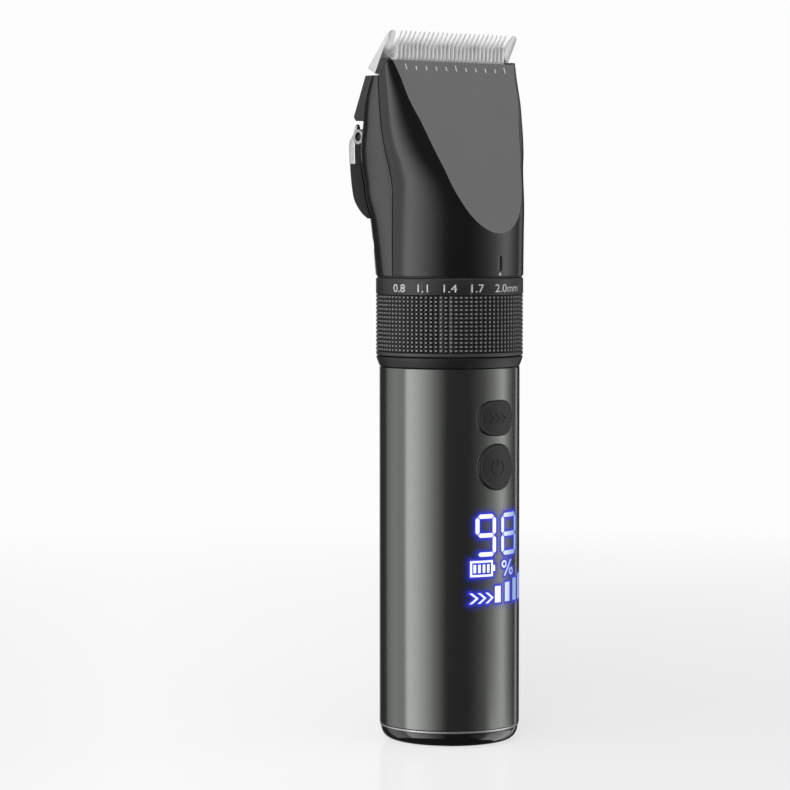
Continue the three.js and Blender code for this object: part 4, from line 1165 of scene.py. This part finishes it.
def lever_ring(z, hollow):
    """Outline of the lever at height z: outer face, then the inner face or the head's skin."""
    count = 30
    inner_half = LEVER_HALF - LEVER_WALL
    corner = rear_depth(LEVER_HALF, z) + LEVER_CLEAR
    ring = [(-LEVER_HALF, corner, z)]
    for i in range(count + 1):
        x = LEVER_HALF * (2 * i / count - 1)
        ring.append((x, lever_outer(x, z), z))
    ring.append((LEVER_HALF, corner, z))
    ring.append((inner_half, rear_depth(inner_half, z) + LEVER_CLEAR, z))
    for i in range(count + 1):
        x = inner_half * (1 - 2 * i / count)
        skin = rear_depth(x, z) + LEVER_CLEAR
        ring.append((x, max(lever_outer(x, z) - LEVER_WALL, skin) if hollow else skin, z))
    ring.append((-inner_half, rear_depth(inner_half, z) + LEVER_CLEAR, z))
    return ring


def make_lever():
    """Curved flap, hollow towards the head, with a closed bottom."""
    floor_z = 135.4
    heights = [133.6, 133.8, 134.2, 134.8, floor_z, floor_z + 0.01]
    heights += [136.0 + 18.0 * i / 26 for i in range(27)] + [154.2]
    rings = [lever_ring(z, level > 4) for level, z in enumerate(heights)]
    obj = object_from("lever_flap", bm_from(*loft(rings)))
    bm = bmesh.new()
    bm.from_mesh(obj.data)
    bmesh.ops.remove_doubles(bm, verts=bm.verts[:], dist=1e-7)
    bm.to_mesh(obj.data)
    bm.free()
    soften(obj, 0.3, 3, 50)
    dress(obj, LEVER_BLACK, "release_lever", ["release_lever"], angle=32)

    eyes = []
    for side in (1, -1):
        x0, x1 = sorted((15.3 * side, 16.9 * side))
        profile = rounded([(1.1, x0), (EYE_R, x0), (EYE_R, x1), (1.1, x1)], 0.16, 3)
        verts, faces = lathe(profile, 48)
        eyes.append(([(z, x + PIVOT[0], y + PIVOT[1]) for x, y, z in verts], faces))
    piece("lever_eyes", merge(*eyes), ZINC, "release_lever", angle=50)


STRIP_Z = 147.6
STRIP_HEIGHT = 6.8
ARM_Z = 154.3
ARM_HEIGHT = 3.4
LEVELS = 8


def side_bar(side, rows):
    """Upright bar on one side, from rows of (inner x, outer x, outer y, depth, z)."""
    rings = []
    for inner, outer, y, depth, z in rows:
        x0, x1 = sorted((side * inner, side * outer))
        rings.append([(x0, y, z), (x1, y, z), (x1, y - depth, z), (x0, y - depth, z)])
    return loft(rings)


def make_strip():
    """Bright strip across the lever, with an arm up and a short return down each side."""
    count = 40
    half = LEVER_HALF + 0.06
    rings = []
    returns = []
    arms = []
    for k in range(LEVELS + 1):
        z = STRIP_Z + STRIP_HEIGHT * k / LEVELS
        rise = 0.04 + 0.1 * min(k, LEVELS - k, 1)
        ring = []
        for i in range(count + 1):
            x = half * (2 * i / count - 1)
            ring.append((x, lever_outer(x, z) + rise, z))
        for i in range(count + 1):
            x = half * (1 - 2 * i / count)
            ring.append((x, lever_outer(x, z) - 0.5, z))
        rings.append(ring)
        depth = 2.2 if k < 7 else 2.2 - 0.7 * (k - 6)
        returns.append((LEVER_HALF, LEVER_HALF + 0.14, lever_outer(LEVER_HALF, z) + 0.04, depth, z))

        z = ARM_Z + ARM_HEIGHT * k / LEVELS
        slim = 0.0 if k < 7 else 0.25 * (k - 6)
        arms.append((15.35 + slim, half - slim, lever_outer(LEVER_HALF, z) + 0.14, 0.75, z))
    parts = [loft(rings)]
    for side in (1, -1):
        parts += [side_bar(side, arms), side_bar(side, returns)]
    piece("lever_strip", merge(*parts), STRIP, "release_lever",
          ["lever_plate"], bevel=0.1)


LUG_R = 1.6


def make_pivot():
    """Lugs on the head and the pins that carry the lever."""
    lugs = []
    for side in (1, -1):
        x0, x1 = sorted((13.0 * side, 15.1 * side))
        outline = []
        for i in range(13):
            angle = math.radians(-90 + 180 * i / 12)
            outline.append((PIVOT[0] + LUG_R * math.cos(angle), PIVOT[1] + LUG_R * math.sin(angle)))
        outline += [(13.2, PIVOT[1] + 2.2), (13.2, PIVOT[1] - 2.2)]
        lugs.append(loft([[(x, y, z) for y, z in outline] for x in (x0, x1)]))
    piece("pivot_lugs", merge(*lugs), GLOSS, "root", bevel=0.12)
    for name, side in (("lever_pin_right", 1), ("lever_pin_left", -1)):
        profile = [(0, 12.7), (PIN_R, 12.7), (PIN_R, 16.35), (0.85, 16.55), (0.5, 16.68), (0, 16.72)]
        verts, faces = lathe(profile, 40)
        turned = [(side * z, x + PIVOT[0], y + PIVOT[1]) for x, y, z in verts]
        # The dark pin material is painted shade for the hole in the eye.
        piece(f"{name}_domed", (turned, faces), PIN_SHADE_STEEL, "root", [name], angle=50)


# ---------------------------------------------------------------- blades
def on_blade(x, u, n):
    point = BLADE_ORIGIN + Vector((x, 0, 0)) + U_AXIS * u + N_AXIS * n
    return tuple(point)


def tooth_points(x, root, tip, width, tip_width, steps=5):
    """Outline of one tooth: straight flanks and a round tip."""
    r = tip_width / 2
    points = [(x - width / 2, root)]
    for i in range(steps + 1):
        angle = math.pi - math.pi * i / steps
        points.append((x + r * math.cos(angle), tip - r + r * math.sin(angle)))
    points.append((x + width / 2, root))
    return points


def comb_plate(outline, back, front):
    """Plate between two leaning planes: back(u) and front(u) give n on each side."""
    count = len(outline)
    verts = [on_blade(x, u, face(u)) for face in (back, front) for x, u in outline]
    faces = [tuple(range(count)), tuple(range(2 * count - 1, count - 1, -1))]
    for i in range(count):
        j = (i + 1) % count
        faces.append((i, i + count, j + count, j))
    return verts, faces


def end_tooth(half, root, tip):
    """Left end of the fixed comb: straight side, blunt rounded tip and the inner flank."""
    outline = [(-half, 0.1), (-half, tip - 1.3)]
    for i in range(7):
        angle = math.pi - math.pi / 2 * i / 6
        outline.append((-half + 1.2 + 1.2 * math.cos(angle), tip - 1.3 + 1.3 * math.sin(angle)))
    for i in range(5):
        angle = math.pi / 2 - math.pi / 2 * i / 4
        outline.append((-half + 1.5 + 0.9 * math.cos(angle), tip - 1.4 + 1.4 * math.sin(angle)))
    outline.append((-half + 3.0, root))
    return outline


def make_fixed_blade():
    tip, root, half = 12.3, 6.2, 22.1
    teeth, pitch = 24, 1.56
    left = end_tooth(half, root, tip)
    outline = list(left)
    for i in range(teeth):
        outline += tooth_points((i - (teeth - 1) / 2) * pitch, root, tip, 0.86, 0.44)
    outline += [(-x, u) for x, u in reversed(left)]

    def wedge(u):
        return -(3.0 - 2.78 * max(u, 0) / 12.2)

    obj = object_from("fixed_comb", bm_from(*comb_plate(outline, wedge, lambda u: 0.0)))
    soften(obj, 0.07, 2, 30)
    tang = [(-16, -9.5), (16, -9.5), (16, 0.12), (-16, 0.12)]
    plate = object_from("fixed_tang", bm_from(*comb_plate(tang, lambda u: -1.3, lambda u: -0.02)))
    soften(plate, 0.1, 2)
    dress(obj, BLADE, "blade_unit", ["fixed_blade"], angle=28)
    dress(plate, BLADE, "blade_unit")


CUTTER_BASE = 1.8
CUTTER_ROOT = 5.1
CUTTER_TIP = 9.04
CUTTER_HALF = 19.3
CUTTER_BACK = 0.1
CUTTER_THICK = 2.2
CUTTER_TEETH = 28
CUTTER_PITCH = 1.35


def cutter_front(u):
    """Front face of the moving blade, thinning from the tooth roots to the tips."""
    share = (u - CUTTER_ROOT) / (CUTTER_TIP - CUTTER_ROOT)
    return max(CUTTER_THICK + (0.32 - CUTTER_THICK) * share, 0.3)


def moving_comb():
    verts = []
    faces = []

    def vertex(x, u, n):
        verts.append(on_blade(x, u, n))
        return len(verts) - 1

    low_back = [vertex(x, CUTTER_BASE, CUTTER_BACK) for x in (-CUTTER_HALF, CUTTER_HALF)]
    low_front = [vertex(x, CUTTER_BASE, CUTTER_THICK) for x in (-CUTTER_HALF, CUTTER_HALF)]
    line_back = [vertex(-CUTTER_HALF, CUTTER_ROOT, CUTTER_BACK)]
    line_front = [vertex(-CUTTER_HALF, CUTTER_ROOT, CUTTER_THICK)]
    for i in range(CUTTER_TEETH):
        x = (i - (CUTTER_TEETH - 1) / 2) * CUTTER_PITCH
        points = tooth_points(x, CUTTER_ROOT, CUTTER_TIP, 0.78, 0.34, 4)
        backs = [vertex(px, u, CUTTER_BACK) for px, u in points]
        fronts = [vertex(px, u, cutter_front(u)) for px, u in points]
        faces += [tuple(backs), tuple(reversed(fronts))]
        faces += [(backs[k], fronts[k], fronts[k + 1], backs[k + 1]) for k in range(len(points) - 1)]
        line_back += [backs[0], backs[-1]]
        line_front += [fronts[0], fronts[-1]]
    line_back.append(vertex(CUTTER_HALF, CUTTER_ROOT, CUTTER_BACK))
    line_front.append(vertex(CUTTER_HALF, CUTTER_ROOT, CUTTER_THICK))
    for k in range(0, len(line_back), 2):
        faces.append((line_back[k], line_front[k], line_front[k + 1], line_back[k + 1]))
    faces += [
        (low_back[0], low_back[1], *reversed(line_back)),
        (low_front[1], low_front[0], *line_front),
        (low_back[1], low_back[0], low_front[0], low_front[1]),
        (low_back[0], line_back[0], line_front[0], low_front[0]),
        (low_back[1], low_front[1], line_front[-1], line_back[-1]),
    ]
    return verts, faces


def make_moving_blade():
    obj = object_from("moving_comb", bm_from(*moving_comb()))
    soften(obj, 0.06, 2, 30)
    dress(obj, BLADE, "moving_cutter", ["moving_blade"], angle=28)

    ribs = []
    for i in range(CUTTER_TEETH + 1):
        x = (i - CUTTER_TEETH / 2) * CUTTER_PITCH
        outline = [(x - 0.2, 4.3), (x + 0.2, 4.3), (x + 0.14, 5.0), (x - 0.14, 5.0)]
        ribs.append(comb_plate(outline, lambda u: CUTTER_THICK - 0.2, lambda u: CUTTER_THICK + 0.16))
    tail = comb_plate([(-12, -1.9), (12, -1.9), (12, 2.0), (-12, 2.0)], lambda u: 0.12, lambda u: 1.5)
    piece("moving_ribs", merge(*ribs, tail), BLADE, "moving_cutter", bevel=0.04)


# ---------------------------------------------------------------- CAD nodes that stay
CARRIED = {
    "charging_jack": SATIN, "contact_pad_left": BRASS, "contact_pad_right": BRASS,
    "inner_chassis": NATURAL, "battery_cell": SLEEVE, "battery_tab_top": ZINC, "battery_tab_bottom": ZINC,
    "circuit_board": BOARD, "display_module": WHITE_LIGHT, "power_switch": SATIN, "turbo_switch": SATIN,
    "ring_detent_spring": ZINC, "adjust_slider": NATURAL, "motor_can": ZINC, "motor_end_bell": SATIN,
    "motor_mount": NATURAL, "motor_screw_left": ZINC, "motor_screw_right": ZINC, "motor_shaft": ZINC,
    "eccentric_cam": NATURAL, "blade_carrier": SATIN, "blade_screw_left": ZINC, "blade_screw_right": ZINC,
    "drive_yoke": NATURAL, "cutter_carriage": NATURAL, "cutter_spring": ZINC,
}


def dress_carried():
    for name, material in CARRIED.items():
        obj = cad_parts[name]
        if obj.material_slots:
            for place in obj.material_slots:
                place.material = material
        else:
            obj.data.materials.append(material)
        if name in ("blade_carrier", "adjust_slider", "cutter_carriage", "drive_yoke", "motor_mount"):
            modifier = obj.modifiers.new("edge", "BEVEL")
            modifier.width = 0.12 * MM
            modifier.segments = 2
            modifier.limit_method = "ANGLE"
            modifier.angle_limit = math.radians(40)


# ---------------------------------------------------------------- stage, light and camera
CAMERA_AZIMUTH = math.radians(-42.4)
CAMERA_DISTANCE = 0.80
CAMERA_HEIGHT = 0.134
FOCAL_PIXELS = 3120.0
FRAME_PIXELS = 790.0
AXIS_OFFSET = 54.5
HORIZON_OFFSET = 178.0

LOOK = Vector((-math.sin(CAMERA_AZIMUTH), math.cos(CAMERA_AZIMUTH), 0))
SIDE = Vector((LOOK.y, -LOOK.x, 0))


def make_camera():
    data = bpy.data.cameras.new("camera")
    data.sensor_width = 36
    data.lens = 36 * FOCAL_PIXELS / FRAME_PIXELS
    data.clip_start = 0.01
    camera = bpy.data.objects.new("camera", data)
    show(camera)
    yaw = math.atan(AXIS_OFFSET / FOCAL_PIXELS)
    pitch = math.atan(HORIZON_OFFSET / FOCAL_PIXELS)
    flat = LOOK * math.cos(yaw) - SIDE * math.sin(yaw)
    forward = flat * math.cos(pitch) - Vector((0, 0, math.sin(pitch)))
    camera.location = -LOOK * CAMERA_DISTANCE + Vector((0, 0, CAMERA_HEIGHT))
    camera.rotation_euler = forward.to_track_quat("-Z", "Y").to_euler()
    bpy.context.scene.camera = camera


def card_material(name, strength, profile):
    """White light whose brightness follows a ramp along the card."""
    material = bpy.data.materials.new(name)
    material.use_nodes = True
    tree = material.node_tree
    tree.nodes.clear()
    split = add_node(tree, "SeparateXYZ", {"Vector": add_node(tree, "TexCoord", {}).outputs["UV"]})
    ramp = add_node(tree, "ValToRGB", {"Fac": split.outputs["X"]})
    while len(ramp.color_ramp.elements) < len(profile):
        ramp.color_ramp.elements.new(0.5)
    for element, (position, value) in zip(ramp.color_ramp.elements, profile):
        element.position = position
        element.color = (value, value, value, 1)
    gain = multiply(tree, ramp.outputs["Color"], strength)
    emission = add_node(tree, "Emission", {"Color": (1, 1, 1, 1), "Strength": gain})
    add_node(tree, "OutputMaterial", {"Surface": emission.outputs["Emission"]})
    return material


CARD_DISTANCE = 0.9
CARD_HEIGHTS = (-0.75, 0.9)


def make_card(name, start, end, strength, profile, near=None, far=None):
    """Light card curved round the object between two angles, measured from the camera.

    near and far are its two long edges, each as (distance from the axis, height).
    """
    near = near or (CARD_DISTANCE, CARD_HEIGHTS[0])
    far = far or (CARD_DISTANCE, CARD_HEIGHTS[1])
    steps = 16
    verts = []
    for i in range(steps + 1):
        angle = math.radians(start + (end - start) * i / steps)
        way = -LOOK * math.cos(angle) + SIDE * math.sin(angle)
        verts += [(way.x * distance, way.y * distance, level) for distance, level in (near, far)]
    faces = [(2 * i, 2 * i + 2, 2 * i + 3, 2 * i + 1) for i in range(steps)]
    mesh = bpy.data.meshes.new(name)
    mesh.from_pydata(verts, [], faces)
    layer = mesh.uv_layers.new(name="UVMap")
    for loop in mesh.loops:
        layer.data[loop.index].uv = ((loop.vertex_index // 2) / steps, loop.vertex_index % 2)
    mesh.materials.append(card_material(name, strength, profile))
    card = bpy.data.objects.new(name, mesh)
    show(card)
    card.visible_camera = False
    card.visible_shadow = False


def floor_material():
    """Pale floor near the object that fades into even white away from it."""
    material, tree, shader = new_material("floor")
    feed(tree, shader, {
        "Base Color": (0.86, 0.86, 0.86, 1),
        "Roughness": 0.12,
        "Specular IOR Level": 0.5,
    })
    coords = add_node(tree, "TexCoord", {})
    length = add_node(tree, "VectorMath", {0: coords.outputs["Object"]}, operation="LENGTH")
    far = remap(tree, length.outputs["Value"], 0.72, 1.0, 0.1, 0.55)
    white = add_node(tree, "Emission", {"Color": (1, 1, 1, 1), "Strength": 0.98})
    inputs = {"Fac": far, 1: shader.outputs["BSDF"], 2: white.outputs["Emission"]}
    mix = add_node(tree, "MixShader", inputs)
    feed(tree, tree.nodes["Material Output"], {"Surface": mix.outputs["Shader"]})
    return material


FLOOR_R = 2.4
SWEEP_R = 0.6


def make_floor():
    """Round floor whose rim sweeps up into a wall."""
    segments = 96
    profile = [(r, -0.0002) for r in (0.0, 0.1, 0.3, 0.6, 1.0, 1.6, FLOOR_R)]
    for i in range(1, 13):
        angle = math.pi / 2 * i / 12
        profile.append((FLOOR_R + SWEEP_R * math.sin(angle), SWEEP_R * (1 - math.cos(angle))))
    profile.append((FLOOR_R + SWEEP_R, 3.0))
    verts = [(0, 0, profile[0][1])]
    for r, z in profile[1:]:
        for i in range(segments):
            verts.append((*polar(r, TAU * i / segments), z))
    faces = [(0, 1 + i, 1 + (i + 1) % segments) for i in range(segments)]
    for j in range(len(profile) - 2):
        for i in range(segments):
            a = 1 + j * segments + i
            b = 1 + j * segments + (i + 1) % segments
            faces.append((a, a + segments, b + segments, b))
    mesh = bpy.data.meshes.new("floor")
    mesh.from_pydata(verts, [], faces)
    for polygon in mesh.polygons:
        polygon.use_smooth = True
    floor = bpy.data.objects.new("floor", mesh)
    show(floor)
    mesh.materials.append(floor_material())
    floor.visible_glossy = False
    floor.visible_diffuse = False
    floor.visible_shadow = False


def area_light(name, location, target, size, power):
    data = bpy.data.lights.new(name, "AREA")
    data.shape = "RECTANGLE"
    data.size, data.size_y = size
    data.energy = power
    light = bpy.data.objects.new(name, data)
    light.location = location
    light.rotation_euler = (Vector(target) - Vector(location)).to_track_quat("-Z", "Y").to_euler()
    light.visible_glossy = False
    show(light)


def make_lights():
    world = bpy.data.worlds.new("world")
    world.use_nodes = True
    world.node_tree.nodes["Background"].inputs["Color"].default_value = (1, 1, 1, 1)
    world.node_tree.nodes["Background"].inputs["Strength"].default_value = 0.03
    bpy.context.scene.world = world
    make_card("left_card", -76, -4, 2.0,
              [(0.0, 1.0), (0.15, 0.95), (0.45, 0.6), (0.72, 0.25), (1.0, 0.0)])
    make_card("left_fill", -125, -76.5, 0.75, [(0.0, 0.45), (0.5, 1.0), (1.0, 0.75)])
    make_card("left_rim", -180, -158, 0.9, [(0.0, 0.6), (0.5, 1.0), (1.0, 0.2)])
    make_card("right_card", 35, 135, 1.4,
              [(0.0, 0.03), (0.22, 0.15), (0.41, 0.42), (0.62, 1.0), (0.78, 0.34), (0.96, 0.03)])
    make_card("right_rim", 137, 147, 1.0, [(0.0, 0.2), (0.5, 1.0), (1.0, 0.2)])
    # The leaning blade reflects this one, which lies under the floor.
    make_card("bounce", 60, 140, 1.25, [(0.0, 0.0), (0.2, 1.0), (0.8, 1.0), (1.0, 0.0)],
              (0.2, -0.22), (0.85, -0.22))
    area_light("top_light", (-0.15, -0.2, 0.9), (0, 0, 0.1), (0.7, 0.7), 6)
    front = -LOOK * 1.6 - SIDE * 0.3 + Vector((0, 0, 0.9))
    area_light("front_light", tuple(front), (0, 0, 0.1), (0.5, 0.5), 9)


# ---------------------------------------------------------------- build
bpy.context.scene.view_settings.view_transform = "Standard"
bpy.context.scene.view_settings.look = "None"
make_camera()
make_cap()
make_tube()
make_buttons()
make_display()
make_neck()
make_ring()
make_numbers()
make_shells()
make_panel()
make_cover()
make_lever()
make_strip()
make_pivot()
make_fixed_blade()
make_moving_blade()
for screw_node in ("shell_screw_left", "shell_screw_right"):
    make_screw(screw_node, "y")
dress_carried()
make_floor()
make_lights()
